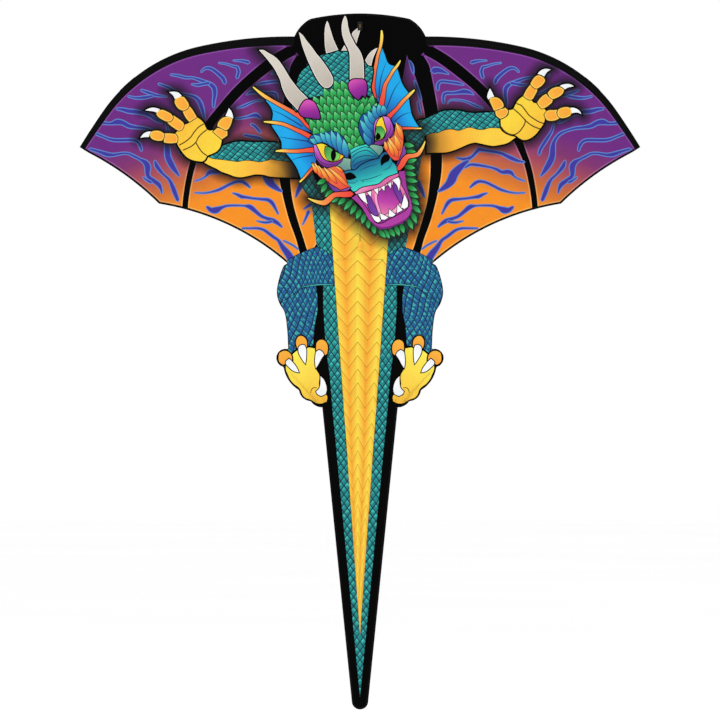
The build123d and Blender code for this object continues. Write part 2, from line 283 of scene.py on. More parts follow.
BOTH = (1, -1)
crown = arc((-128, 19), (0, 32.5), (128, 19), 24) + arc((128, 19), (151, 1.5), (169, -26), 6)[1:]
scallops = arc(edge_point(EDGE_LENGTH, BAND), (622, -374), (521, -457), 20)
scallops += arc((521, -457), (350, -508), (187, -612), 36)[1:]
seam_a = arc((170, -40), (196, -290), (122, -625), 40)
rib_foot = (457.0, float(np.interp(457, *zip(*scallops[::-1]))))
seam_b = arc((170, -48), (300, -145), (400, -255), 24) + arc((400, -255), (435, -355), rib_foot, 20)[1:]
down_sail = [-z for x, z in scallops]
sail_foot = (float(np.interp(-WING_FOOT, down_sail, [x for x, z in scallops])), WING_FOOT)
thigh = smooth([(187, -612), (197, -617.5), (209, -650), (215, -687), (208, -715), (195, -737), (188, -780),
                (185, -833)], False)
toes = [arc(*stops, 8)[1:] for stops in (
    ((185, -833), (216, -856), (197, -879)), ((197, -879), (183, -915), (157, -939)),
    ((157, -939), (147, -959), (127, -967)), ((127, -967), (114, -979), (99, -983)))]
body_side = [tuple(p) for p in thigh] + sum(toes, [])

# Wing cells: the parts of each wing between the black ribs. They are printed in the cloth, from
# purple at the shoulder to orange at the trailing edge, with tiger stripes in a paler rim.
hem_line = [tuple(p) for p in grown(np.array(scallops + [(187, -200), (700, -100)]), -HEM)[:len(scallops)]]
band_line = [edge_point(s, band_width(s)) for s in np.linspace(12, EDGE_LENGTH - 4, 60)]
rib_b_top = [(183, -49), (222, -72), (250, -92), (290, -125), (330, -163), (370, -210), (400, -248),
             (415, -280), (424, -305), (432, -328), (440, -350), (450, -391), (458, -441), (461, -474)]
rib_b_low = [(160, -70), (200, -92), (230, -113), (280, -152), (305, -175), (340, -212), (370, -245),
             (387, -275), (403, -305), (424, -353), (434, -391), (443, -441), (446, -476)]
rib_a_out = [(160, -70), (178, -100), (185, -130), (192, -165), (200, -210), (205, -250), (210, -300),
             (212, -350), (209, -390), (199, -440), (183, -500), (165, -550), (157, -580), (150, -600)]
rib_a_in = [(121, -74), (135, -110), (150, -150), (160, -190), (168, -230), (172, -260), (181, -300),
            (182, -350), (181, -390), (174, -450), (161, -500), (145, -550), (137, -575), (130, -590)]


def between(points, low_x, high_x):
    return [p for p in points if low_x < p[0] < high_x]


rib_b_top, rib_b_low, rib_a_out, rib_a_in = (
    [tuple(p) for p in smooth(rib, False, 8.0)] for rib in (rib_b_top, rib_b_low, rib_a_out, rib_a_in))
outer_cell = band_line + between(hem_line, 462, 900) + rib_b_top[::-1]
inner_cell = rib_b_low + between(hem_line, 160, 445) + rib_a_out[::-1]
third_cell = rib_a_in + [(112, -560), (112, -300), (100, -200)]
for side in BOTH:
    for cell in (outer_cell, inner_cell, third_cell):
        line = np.array(cell) * (side, 1)
        shape("wing_rim", line)
        shape("wing_fade", grown(line, -3.0))

tiger_stripes = [
    [(328, -88, 3), (305, -89, 7), (289, -93, 9)],
    [(365, -94, 4), (345, -97, 5), (330, -102, 6), (318, -105, 8), (314, -116, 9), (318, -132, 8)],
    [(411, -117, 5), (403, -109, 6), (392, -107, 8), (380, -112, 9), (366, -123, 10), (354, -135, 11),
     (350, -145, 10)],
    [(490, -124, 5), (470, -127, 7), (450, -132, 7), (435, -132, 6), (418, -137, 8), (402, -143, 9),
     (388, -149, 11),
     (378, -159, 13), (376, -175, 11), (378, -190, 9), (379, -208, 6)],
    [(436, -149, 4), (420, -151, 8), (405, -148, 8), (392, -146, 9)],
    [(521, -148, 6), (495, -158, 8), (478, -167, 7), (460, -173, 6), (440, -178, 8), (425, -184, 10),
     (415, -196, 12), (408, -215, 11), (402, -240, 5)],
    [(566, -164, 6), (545, -172, 9), (530, -177, 8), (515, -179, 6), (500, -181, 3)],
    [(600, -180, 5), (580, -184, 7), (560, -183, 9), (538, -179, 7)],
    [(630, -212, 6), (615, -214, 10), (600, -218, 12), (580, -220, 12), (560, -224, 11), (545, -230, 10),
     (530, -240, 10), (515, -248, 6)],
    [(665, -249, 8), (645, -250, 8), (630, -246, 15), (615, -248, 13), (600, -256, 12), (580, -260, 9),
     (560, -262, 8), (535, -269, 7), (520, -276, 9), (510, -286, 9), (503, -298, 11), (500, -313, 15),
     (498, -336, 17), (490, -354, 17), (480, -370, 13), (468, -386, 5)],
    [(682, -277, 8), (665, -284, 7), (650, -290, 8), (635, -293, 9), (610, -293, 9), (590, -293, 9),
     (578, -297, 9),
     (570, -308, 9), (567, -320, 6)],
    [(700, -316, 7), (685, -320, 8), (670, -325, 10), (655, -330, 12), (640, -331, 9), (615, -327, 7),
     (600, -328, 7),
     (585, -335, 8), (570, -343, 8), (558, -350, 14), (551, -361, 17), (550, -385, 12), (535, -398, 12),
     (522, -408, 13), (516, -420, 8), (514, -430, 5)],
    [(562, -389, 5), (552, -397, 7), (542, -402, 8)],
    [(532, -347, 6), (528, -358, 12), (520, -370, 11), (508, -383, 8), (495, -395, 9), (487, -410, 12),
     (480, -428, 13), (472, -448, 10)],
    [(502, -250, 5), (498, -268, 7), (488, -285, 9), (478, -300, 10), (468, -316, 9), (464, -329, 8)],
    [(427, -399, 4), (412, -394, 5), (400, -387, 6), (391, -377, 12), (380, -375, 13), (368, -376, 10),
     (355, -369, 9),
     (340, -364, 7), (320, -360, 8), (300, -357, 9), (285, -357, 8), (272, -365, 5)],
    [(425, -350, 5), (410, -347, 9), (395, -341, 12), (380, -334, 11), (365, -327, 9), (345, -323, 9),
     (325, -320, 9),
     (308, -317, 12), (300, -326, 10), (290, -336, 9), (278, -342, 11), (262, -342, 7), (250, -339, 4)],
    [(280, -347, 8), (268, -356, 14), (255, -368, 20), (243, -382, 24), (237, -396, 24), (228, -408, 19),
     (215, -418, 13), (203, -426, 6)],
    [(427, -429, 4), (405, -430, 5), (385, -427, 6), (365, -421, 8), (345, -411, 8), (325, -402, 8),
     (308, -400, 9),
     (296, -406, 9), (285, -416, 5)],
    [(330, -430, 4), (318, -434, 8), (308, -439, 10), (295, -441, 8), (275, -444, 7), (255, -446, 8),
     (238, -448, 10), (228, -455, 11), (220, -468, 8), (212, -484, 5)],
    [(396, -466, 8), (385, -474, 14), (373, -474, 18), (360, -468, 10), (345, -463, 7), (320, -462, 6),
     (300, -463, 6),
     (285, -466, 13), (270, -478, 11), (255, -490, 9), (240, -496, 9), (225, -501, 12), (213, -508, 10),
     (202, -518, 5)],
    [(268, -502, 3), (255, -505, 6), (240, -506, 7), (228, -503, 7)],
    [(305, -521, 5), (285, -521, 6), (265, -521, 7), (250, -525, 8), (238, -533, 9), (225, -543, 9),
     (212, -552, 9),
     (200, -570, 14), (188, -585, 18), (180, -597, 20)],
    [(198, -553, 4), (185, -559, 5), (172, -566, 5), (160, -575, 4)],
    [(148, -400, 12), (155, -415, 13), (162, -430, 9), (166, -441, 4)],
    [(125, -458, 10), (145, -471, 4)], [(133, -478, 9), (140, -495, 7), (148, -512, 3)],
    [(190, -114, 17), (203, -113, 15), (216, -117, 10), (229, -123, 4)],
    [(201, -163, 8), (201, -152, 9), (207, -143, 8), (216, -142, 8), (235, -144, 8), (255, -147, 8),
     (268, -151, 4)],
    [(216, -197, 7), (215, -185, 8), (217, -175, 9), (225, -172, 9), (240, -172, 8), (255, -170, 10),
     (270, -168, 13),
     (285, -171, 9), (294, -176, 3)],
    [(226, -200, 3), (233, -191, 4), (250, -190, 5), (268, -192, 5), (285, -198, 6), (300, -205, 7),
     (318, -211, 4)],
    [(330, -238, 3), (310, -237, 6), (290, -233, 7), (270, -229, 12), (258, -236, 8)],
    [(281, -253, 7), (272, -258, 8), (263, -268, 8), (258, -275, 5)],
    [(300, -280, 7), (285, -283, 8), (265, -287, 9), (250, -292, 5)],
    [(128, -90, 5), (133, -100, 9), (136, -112, 8), (138, -122, 4)],
    [(141, -140, 4), (146, -155, 8), (152, -172, 8), (157, -190, 6)],
    [(150, -195, 6), (153, -212, 8), (157, -228, 5)],
]
for stripe in tiger_stripes:
    for side in BOTH:
        line = [(side * x, z, w) for x, z, w in stripe]
        shape("stripe_rim", ribbon(line, 1.0))
        shape("stripe", ribbon(line, -1.6))

# Body and tail: printed down the middle of the sail. Teal scales run down both sides of a golden
# belly that narrows to a point near the tail's end, with black between scales and binding.
neck = [(-155, -395), (-148, -420), (-132, -440), (-125, -460), (-118, -520), (-113, -560), (-107, -575),
        (-104, -640),
        (-98, -690), (-93, -750), (-90, -800), (-85, -850), (-78, -900), (-72, -978), (-36, -1355),
        (0, -1731),
        (36, -1355), (72, -978), (78, -900), (85, -850), (90, -800), (93, -750), (98, -690), (104, -640),
        (107, -580),
        (117, -575), (128, -520), (140, -450), (150, -390), (160, -330), (166, -290), (150, -262)]
shape("body_scales", neck)

# Legs: printed on the two side lobes of the sail below the wings. A scaled thigh lies over a
# scaled shin, and the golden foot has three clawed toes and a dew claw that curl inwards.
behind_leg = [(95, -600), (128, -574), (190, -608), (230, -630), (230, -840), (95, -985)]
shin = [(115, -662), (225, -662), (202, -720), (190, -780), (187, -833), (184, -853), (158, -853),
        (121, -822),
        (118, -775), (110, -735), (110, -700)]
thigh_top = [(60, -602), (80, -588), (107, -571), (132, -577), (160, -589), (190, -607), (240, -660),
             (215, -715), (190, -703),
             (150, -676), (110, -668), (60, -668)]
for side in BOTH:
    shape("black", [(side * x, z) for x, z in behind_leg])
    shape("leg_scales", [(side * x, z) for x, z in shin])
    drawn("leg_scales", thigh_top, None, 1.6, (side,))
    stroke("leg_light", [(70, -667, 1.2), (110, -667, 2.0), (150, -673, 1.2)], 1.2, (side,))
shape("belly", [(-79, -465), (-70, -400), (70, -400), (79, -465), (0, -1571)], rim=1.2)
foot = [(175, -848), (162, -837), (135, -829), (113, -832), (115, -880), (105, -901), (105, -929),
        (85, -954),
        (86, -968), (99, -973), (112, -972), (128, -963), (140, -959), (148, -951), (153, -938),
        (160, -930), (170, -923),
        (180, -911), (186, -898), (191, -885), (189, -868)]
drawn("foot", foot, [(175, -850), (92, -975)], 5.0, BOTH)
for toe, claw in (
        ([(210, -855), (208, -843), (199, -838), (189, -838), (181, -843), (176, -852), (175, -862),
          (187, -869), (199, -873),
          (208, -866)],
         [(191, -865), (183, -858), (175, -865), (163, -881), (158, -893), (170, -890), (183, -880),
          (191, -871)]),
        ([(165, -820), (164, -809), (158, -800), (150, -799), (142, -804), (137, -814), (137, -827),
          (151, -834), (162, -830)],
         [(158, -828), (151, -822), (143, -823), (139, -832), (139, -855), (141, -871), (150, -858),
          (158, -842)]),
        ([(113, -822), (110, -814), (102, -809), (92, -811), (85, -820), (83, -832), (85, -845), (97, -852),
          (111, -842)],
         [(113, -840), (105, -835), (97, -840), (93, -848), (100, -858), (108, -873), (114, -882),
          (116, -865), (115, -850)])):
    drawn("finger", toe, [toe[2], toe[7]], 3.5, BOTH)
    drawn("claw", claw, [claw[0], claw[4]], 2.5, BOTH)
drawn("claw", [(102, -903), (94, -911), (88, -924), (86, -938), (89, -949), (100, -954), (110, -949),
               (113, -942),
               (105, -934), (102, -921)], [(113, -945), (98, -905)], 2.5, BOTH)
stroke("crease", [(127, -946, 1.5), (125, -937, 2), (118, -932, 2), (111, -933, 1.5)], sides=BOTH)

# Arms: printed across the wings, over a soft printed shadow. Each is scaled above and golden
# underneath and ends in an open hand with jointed, clawed fingers. The right arm is held higher.
layer = 1
left_arm = [(-358, -309), (-349, -305), (-333, -300), (-316, -297), (-300, -297), (-272, -299),
            (-250, -298),
            (-215, -300), (-165, -302), (-160, -350), (-215, -345), (-230, -342), (-240, -345),
            (-260, -349),
            (-280, -346), (-300, -345), (-316, -348), (-341, -345), (-366, -342), (-382, -340),
            (-394, -335)]
left_under = [(-405, -350), (-391, -358), (-374, -366), (-358, -375), (-341, -381), (-325, -387),
              (-308, -389),
              (-291, -386), (-272, -382), (-250, -383), (-235, -387), (-215, -389), (-185, -390),
              (-160, -391),
              (-160, -330), (-215, -330), (-340, -325), (-396, -330)]
right_arm = [(112, -268), (150, -243), (165, -240), (175, -236), (190, -228), (200, -224), (212, -219),
             (225, -217), (245, -217),
             (262, -218), (275, -221), (290, -223), (305, -223), (320, -222), (335, -222), (350, -219),
             (368, -235),
             (368, -262), (350, -261), (335, -261), (320, -265), (305, -265), (292, -261), (280, -260),
             (268, -264),
             (255, -268), (240, -265), (228, -265), (215, -268), (200, -274), (185, -275), (166, -282),
             (160, -330), (118, -330)]
right_under = [(172, -327), (190, -326), (222, -325), (245, -319), (262, -312), (280, -304), (292, -300.5),
               (300, -299.5), (312, -302), (330, -306), (345, -308), (360, -306), (375, -303), (385, -299),
               (395, -292),
               (404, -285), (404, -270), (368, -255), (300, -250), (172, -262)]
left_palm = [(-358, -291), (-361, -307), (-366, -317), (-374, -324), (-387, -330), (-396, -334),
             (-400, -342),
             (-407, -348), (-415, -348), (-432, -345), (-447, -338), (-458, -327), (-465, -317),
             (-473, -304), (-480, -277),
             (-475, -272), (-455, -254), (-445, -250), (-425, -233), (-415, -239), (-405, -249),
             (-396, -266), (-389, -269),
             (-377, -269)]
right_palm = [(364, -241), (375, -236), (384, -228), (386, -216), (396, -214), (400, -207), (406, -196),
              (414, -186),
              (423, -180), (428, -184), (436, -189), (444, -190), (450, -197), (457, -198), (462, -205),
              (470, -210),
              (477, -212), (484, -219), (479, -230), (479, -241), (475, -252), (468, -262), (462, -270),
              (453, -280),
              (440, -289), (425, -293), (412, -288), (403, -281), (390, -278), (374, -270), (366, -260)]
for under, arm, end in ((left_under, left_arm, -1), (right_under, right_arm, 1)):
    drawn("underarm", under, [(end * 165, -350), (end * 330, -320)], 4.0)
    drawn("arm_scales", arm, None, 1.5)
for top_edge in (left_arm[:8], right_arm[:15]):
    stroke("black", [(x, z + 1.5, 4) for x, z in top_edge])
for palm, fingers in (
        (left_palm, [
            ([(-380, -272), (-369, -262), (-348, -268), (-344, -271), (-344, -281), (-358, -291)],
             [(-369, -257), (-367, -249), (-358, -238), (-349, -234), (-338, -234), (-331, -239),
              (-334, -251), (-341, -264),
              (-348, -268)],
             [(-348, -231), (-339, -211), (-333, -219), (-329, -231), (-329, -238), (-336, -234)]),
            ([(-459, -220), (-452, -234), (-442, -246), (-432, -240), (-423, -234), (-432, -219),
              (-439, -209), (-444, -205)],
             [(-480, -197), (-478, -187), (-470, -182), (-458, -182), (-450, -191), (-444, -202),
              (-447, -211), (-458, -217),
              (-470, -212)],
             [(-495, -169), (-481, -168), (-470, -171), (-462, -179), (-480, -187), (-485, -177)]),
            ([(-483, -230), (-470, -239), (-458, -249), (-457, -257), (-462, -266), (-470, -269),
              (-483, -261), (-496, -251),
              (-500, -246)],
             [(-528, -226), (-525, -219), (-515, -215), (-502, -219), (-490, -226), (-485, -234),
              (-489, -242), (-499, -245),
              (-512, -240), (-523, -233)],
             [(-557, -216), (-547, -211), (-535, -209), (-519, -213), (-527, -222), (-535, -219)]),
            ([(-509, -276), (-493, -276), (-478, -278), (-473, -287), (-474, -299), (-491, -301),
              (-508, -299)],
             [(-545, -281), (-542, -272), (-532, -269), (-519, -270), (-509, -276), (-509, -287),
              (-514, -294), (-527, -294),
              (-540, -289)],
             [(-570, -287), (-561, -276), (-550, -271), (-542, -271), (-545, -276), (-548, -285),
              (-558, -285)])]),
        (right_palm, [
            ([(350, -218), (357, -214), (368, -213), (376, -210), (383, -217), (382, -224), (375, -233),
              (363, -238),
              (353, -230)],
             [(335, -191), (338, -185), (347, -183), (357, -185), (366, -192), (371, -201), (371, -207),
              (367, -210),
              (357, -214), (347, -217), (342, -206)],
             [(336, -160), (341, -168), (347, -181), (338, -184), (333, -189), (329, -182), (331, -172)]),
            ([(424, -178), (428, -170), (434, -160), (441, -151), (448, -155), (457, -159), (459, -165),
              (453, -177),
              (447, -187), (440, -189), (431, -185)],
             [(442, -148), (448, -137), (455, -129), (462, -126), (471, -129), (477, -134), (479, -140),
              (473, -150),
              (464, -157), (457, -160), (449, -156)],
             [(460, -122), (466, -115), (475, -110), (483, -109), (494, -111), (486, -116), (481, -122),
              (477, -129),
              (470, -125)]),
            ([(460, -196), (466, -187), (474, -179), (483, -174), (487, -180), (494, -186), (500, -188),
              (497, -196),
              (489, -203), (480, -209), (472, -212), (465, -206)],
             [(487, -171), (494, -163), (503, -158), (514, -156), (522, -158), (528, -163), (526, -171),
              (518, -179),
              (508, -184), (500, -187), (492, -182)],
             [(518, -153), (524, -150), (535, -148), (545, -149), (554, -154), (544, -156), (537, -158),
              (531, -162),
              (526, -158)]),
            ([(478, -228), (484, -219), (492, -216), (503, -216), (511, -215), (509, -222), (512, -231),
              (517, -236),
              (508, -241), (495, -243), (484, -240)],
             [(512, -222), (515, -214), (523, -210), (533, -208), (542, -209), (548, -215), (548, -223),
              (544, -230),
              (535, -234), (523, -236), (515, -232)],
             [(546, -209), (556, -210), (565, -214), (571, -220), (574, -226), (565, -222), (556, -222),
              (549, -224)])])):
    shape("black", grown(smooth(palm), 4.5))
    for parts in fingers:
        for part in parts:
            shape("black", grown(smooth(part), 4.0))
    drawn("palm", palm, [palm[2], palm[-8]])
    for knuckle, tip, claw in fingers:
        for part in (knuckle, tip):
            line = smooth(part)
            shape("crease", grown(line, 2.2))
            shape("finger_rim", line)
            shape("finger", grown(line, -2.2), (part[0], part[len(part) // 2]))
        drawn("claw", claw, [claw[-1], claw[0]])
for line in (
        [(-405, -252), (-417, -259), (-429, -272), (-438, -285), (-452, -297), (-468, -306)],
        [(-397, -267), (-409, -276), (-419, -287), (-425, -299), (-438, -310), (-458, -319)],
        [(-425, -299), (-419, -310), (-409, -324), (-397, -333)],
        [(428, -240), (427, -250), (420, -262), (412, -272), (400, -279), (388, -278), (374, -270),
         (366, -260)],
        [(398, -213), (410, -223), (420, -233), (430, -244), (440, -252), (452, -259), (466, -264)],
        [(406, -199), (418, -204), (428, -216), (438, -229), (452, -239), (464, -246), (476, -250)]):
    stroke("crease", [(x, z, 3.1) for x, z in line])

# Head: the top layer of the print, over the widest shadow. From the back it has ear fins on
# spines, a scaled dome, horns, a crest of leaves, brows and eyes, a snout, an open mouth with
# teeth, cheek feathers, a beard of leaves and whiskers.
layer = 2
drawn("black", [(-150, -235), (-125, -290), (-128, -350), (-115, -395), (-90, -430), (-40, -455), (0, -500),
                (40, -535),
                (110, -525), (148, -480), (142, -400), (136, -340), (122, -300), (106, -262), (75, -235),
                (45, -190),
                (30, -150), (-30, -150), (-110, -190)])
for web, axis in (
        ([(-243, -193), (-234, -203), (-227, -216), (-225, -228), (-228, -244), (-190, -255), (-140, -275),
          (-122, -285),
          (-122, -265), (-140, -250), (-160, -232), (-200, -205), (-240, -180)], [(-125, -275),
                                                                                  (-240, -205)]),
        ([(-229, -255), (-220, -269), (-210, -284), (-203, -298), (-202, -318), (-160, -320), (-118, -318),
          (-118, -280),
          (-150, -270), (-190, -254)], [(-118, -300), (-215, -280)]),
        ([(-192, -326), (-182, -338), (-172, -351), (-162, -368), (-153, -392), (-135, -378), (-116, -355),
          (-116, -318),
          (-160, -320)], [(-116, -325), (-172, -360)]),
        ([(56, -55), (64, -74), (70, -91), (77, -99), (90, -103), (80, -125), (62, -160), (58, -200),
          (42, -190), (36, -160),
          (42, -110), (51, -75)], [(48, -200), (72, -85)]),
        ([(95, -106), (100, -120), (105, -137), (112, -153), (127, -174), (100, -208), (75, -235),
          (55, -210), (60, -165),
          (78, -130)], [(65, -225), (108, -140)]),
        ([(126, -184), (130, -210), (133, -225), (140, -241), (152, -260), (110, -262), (90, -255),
          (78, -232),
          (105, -203)], [(85, -245), (135, -215)])):
    drawn("fin", web, axis, 3.5)
for line in ([(-230, -215), (-200, -228), (-150, -258)], [(-210, -285), (-180, -290), (-125, -298)],
             [(-176, -345), (-155, -338), (-122, -333)], [(68, -92), (55, -130), (48, -185)],
             [(105, -140), (88, -165), (68, -215)], [(132, -222), (112, -228), (90, -245)]):
    stroke("fin_line", [(x, z, w) for (x, z), w in zip(line, (0.8, 2.2, 3.5))])
for line in (
        [(-276, -157, 3), (-250, -178, 8), (-225, -193, 8), (-200, -207, 9), (-175, -221, 10),
         (-152, -236, 11),
         (-140, -251, 10), (-122, -270, 6)],
        [(-248, -246, 3), (-225, -248, 7), (-200, -252, 8), (-182, -259, 8), (-165, -267, 9),
         (-147, -275, 10),
         (-124, -288, 12)],
        [(-217, -322, 3), (-200, -321, 7), (-183, -322, 8), (-159, -322, 9), (-140, -320, 10),
         (-120, -319, 13)],
        [(-155, -401, 4), (-143, -389, 5), (-133, -377, 6), (-120, -362, 7)],
        [(55.5, -12, 4), (56, -26, 7), (54, -45, 7), (50, -61, 7), (45, -78, 7), (42, -96, 8),
         (38, -114, 8), (36, -130, 9),
         (33, -147, 10), (32, -162, 12), (36, -177, 10), (40, -188, 5)],
        [(104, -89, 3), (97, -101, 6), (88, -112, 7), (80, -125, 7), (72, -139, 8), (65, -152, 9),
         (62, -167, 10),
         (59, -183, 12), (55, -204, 13)],
        [(140, -165, 4), (130, -175, 7), (120, -185, 8), (110, -195, 9), (97, -211, 9), (83, -225, 10),
         (75, -233, 12)],
        [(158, -263.5, 3), (130, -263, 5), (108, -263, 6)]):
    stroke("spine", line[::-1], 2.0, axis=True)
drawn("arm_scales", [(-175, -205), (-164, -151), (-159, -132), (-150, -116), (-130, -99), (-104, -77),
                     (-87, -71), (-70, -67),
                     (-50, -64), (-30, -65), (5, -85), (29, -103), (33, -110), (30, -140), (27, -160),
                     (35, -185),
                     (-38, -155), (-60, -162), (-75, -172), (-90, -177), (-135, -187), (-165, -219)], None,
                     3.5)
for horn, tip, base in (
        ([(5, 3), (-12, -10), (-20, -19), (-24, -50), (-9, -45), (-6, -33), (-1, -16)], (5, 3), (-15, -50)),
        ([(-40, -49), (-48, -63), (-33, -63)], (-40, -49), (-40, -63)),
        ([(45, -56), (34, -61), (21, -74), (13, -88), (21, -100), (29, -102), (32, -87), (37, -74)],
         (45, -56), (20, -100)),
        ([(-85, 14), (-89, 2), (-91, -15), (-91, -34), (-90, -52), (-87, -70), (-73, -66), (-56, -61),
          (-60, -52), (-67, -37),
          (-73, -19), (-78, -3), (-82, 9)], (-85, 14), (-72, -66)),
        ([(-38, 29), (-44, 16), (-47, 0), (-46, -18), (-43, -31), (-38, -44), (-32, -56), (-27, -70),
          (-26, -89), (-26, -111),
          (-26, -138), (-8, -142), (10, -136), (9, -104), (8, -89), (4, -74), (-2, -61), (-11, -48),
          (-19, -33), (-25, -20),
          (-30, -3), (-33, 15)], (-38, 29), (-8, -138)),
        ([(-158, -15), (-154, -30), (-150, -47), (-144, -65), (-136, -86), (-128, -104), (-119, -123),
          (-110, -139),
          (-101, -151), (-92, -158), (-84, -159), (-75, -154), (-70, -145), (-70, -135), (-74, -125),
          (-81, -113), (-90, -99),
          (-101, -84), (-113, -70), (-125, -53), (-138, -37), (-148, -23)], (-158, -15), (-85, -158)),
        ([(-261, -61), (-244, -80), (-230, -97), (-221, -110), (-214, -123), (-206, -140), (-202, -156),
          (-196, -171),
          (-188, -186), (-178, -198), (-161, -216), (-148, -202), (-134, -187), (-147, -174), (-158, -163),
          (-170, -148),
          (-181, -133), (-191, -116), (-200, -102), (-211, -87), (-224, -76), (-238, -68), (-250, -61)],
         (-261, -61), (-150, -205))):
    line = smooth(horn)
    shape("horn_rim", line, rim=3.5)
    shape("horn", grown(line, -1.3), (base, tip))
drawn("crest_base", [(-110, -190), (-103, -238), (-145, -238), (-122, -268), (-122, -278), (-100, -272),
                     (-80, -270),
                     (-60, -272), (-50, -285), (-33, -305), (-28, -320), (-20, -312), (-5, -310),
                     (12, -300), (-2, -265),
                     (5, -225), (22, -222), (33, -215), (45, -205), (42, -190), (35, -183), (14, -185),
                     (-4, -190),
                     (-27, -165), (-38, -155), (-60, -162), (-75, -172), (-90, -177)], None, 2.0)


def leaf(x, z, lean, length, width, ink="leaf", rim_ink="leaf_dark"):
    """A pointed leaf from its base, leaning clockwise from straight up."""
    along = np.array([sin(lean), cos(lean)])
    across = np.array([along[1], -along[0]])
    line = [np.array([x, z]) + along * length * t + across * width * w for t, w in (
        (0.0, 0.18), (0.25, 0.45), (0.5, 0.5), (0.75, 0.32), (1.0, 0.0), (0.75, -0.32), (0.5, -0.5),
        (0.25, -0.45),
        (0.0, -0.18))]
    shape(ink, smooth(line, step=6.0), (line[0], line[4]), 1.9, rim_ink)


crest = art[-1][1]
for row in range(9):
    for column in range(14):
        x, z = -150 + column * 18.0 + row % 2 * 9.0, -150 - row * 20.0
        if inside(crest, np.array([[x, z], [x + 6, z - 12]])).any():
            leaf(x + (9 if x < 0 else -6), z - 24, -0.42 if x < 0 else 0.25, 37, 19)
for knob in (
        [(-135, -189), (-120, -195), (-112, -207), (-106, -222), (-103, -238), (-115, -239), (-130, -236),
         (-145, -234),
         (-153, -229), (-159, -219), (-152, -203), (-143, -192)],
        [(-29, -150), (-27, -144), (-19, -138), (-2, -137), (11, -139), (16, -147), (17, -162), (16, -175),
         (13, -185),
         (9, -180), (5, -178), (0, -185), (-4, -190), (-11, -185), (-19, -177), (-27, -165)]):
    drawn("knob", knob, [knob[1], knob[5] if knob[0][0] < -100 else knob[12]], 3.0)
drawn("brow", [(-128, -284), (-114, -279), (-101, -278), (-89, -276), (-73, -271), (-50, -281), (-40, -291),
               (-33, -307),
               (-30, -332), (-40, -335), (-50, -332), (-60, -324), (-73, -314), (-84, -304), (-93, -302),
               (-121, -303),
               (-134, -297)], [(-40, -332), (-120, -280)], 2.0)
drawn("brow", [(-3, -262), (0, -240), (8, -228), (28, -222), (38, -210), (48, -205), (58, -210), (60, -225),
               (52, -233),
               (42, -240), (37, -255), (37, -275), (38, -303), (20, -303), (12, -300), (0, -275)],
      [(25, -300), (45, -208)], 2.0)
for x0, z0, x1, z1 in (
        (-130, -291, -100, -304), (-120, -280, -88, -307), (-104, -274, -78, -308), (-90, -272, -68, -313),
        (-75, -268, -57, -322), (-58, -273, -47, -331), (-42, -291, -35, -340), (10, -266, 24, -306),
        (0, -242, 30, -288),
        (9, -228, 34, -268), (20, -218, 37, -252), (34, -205, 45, -239), (48, -201, 54, -231),
        (60, -204, 62, -228)):
    leaf(x1, z1, np.arctan2(x0 - x1, z0 - z1), np.hypot(x0 - x1, z0 - z1), 16, "feather", "fin_line")
drawn("lid", [(-120, -307), (-118, -320), (-116, -334), (-109, -347), (-99, -357), (-86, -363), (-73, -363),
              (-60, -358),
              (-50, -350), (-40, -339), (-56, -327), (-63, -320), (-76, -312), (-89, -304), (-100, -301)],
      [(-80, -365), (-80, -305)], 2.0)
drawn("eye", [(-113, -305), (-99, -303), (-86, -308), (-72, -317), (-58, -327), (-42, -335), (-50, -343),
              (-60, -347),
              (-72, -349), (-84, -346), (-95, -339), (-103, -325), (-109, -312)], [(-105, -305),
                                                                                   (-60, -348)], 2.5)
drawn("iris", [(-90, -309), (-80, -312), (-66, -322), (-52, -330), (-54, -342), (-66, -347), (-80, -346),
               (-89, -336),
               (-92, -322)], [(-90, -312), (-60, -345)], 1.2)
drawn("black", [(-70, -317), (-64, -322), (-62, -334), (-66, -346), (-72, -348), (-75, -340), (-75, -326)])
drawn("lid", [(54, -233), (41, -243), (37, -254), (36, -271), (38, -290), (38, -305), (47, -307),
              (60, -304), (70, -291),
              (85, -281), (87, -271), (85, -258), (80, -245), (74, -235), (64, -233)], [(80, -290),
                                                                                        (50, -240)], 2.0)
drawn("eye", [(57, -234), (49, -240), (42, -256), (40, -275), (40, -296), (50, -293), (60, -288),
              (66, -276), (68, -268),
              (64, -258), (61, -246)], [(57, -236), (45, -290)], 2.5)
drawn("iris", [(43, -259), (55, -259), (64, -271), (61, -285), (52, -290), (40, -295), (40, -275)],
      [(45, -262), (50, -292)], 1.2)
drawn("black", [(45, -274), (51, -278), (54, -286), (50, -292), (42, -295), (40, -285)])
for line in ([(-112, -350), (-95, -362), (-76, -366), (-56, -360)], [(-116, -325), (-108, -343),
                                                                     (-92, -355), (-70, -357)],
             [(-50, -347), (-62, -355), (-78, -357)], [(88, -262), (82, -280), (66, -297), (50, -306)],
             [(80, -252), (77, -272), (62, -290), (44, -302)]):
    stroke("lid_line", [(x, z, w) for (x, z), w in zip(line, (0.8, 2.0, 2.0, 0.8))])
drawn("bridge", [(-42, -340), (-23, -343), (-23, -370), (-40, -372), (-50, -363), (-60, -360), (-47, -350)],
      [(-40, -372), (-30, -340)], 2.0)
drawn("bridge", [(21, -312), (31, -306), (57, -310), (59, -320), (49, -334), (43, -330), (31, -320)],
      [(50, -330), (30, -308)], 2.0)
drawn("snout", [(-25, -320), (-10, -312), (15, -305), (30, -318), (45, -333), (48, -340), (30, -345),
                (10, -352),
                (0, -360), (-8, -370), (-15, -372), (-22, -365), (-22, -340)], [(10, -350), (0, -308)], 2.0)
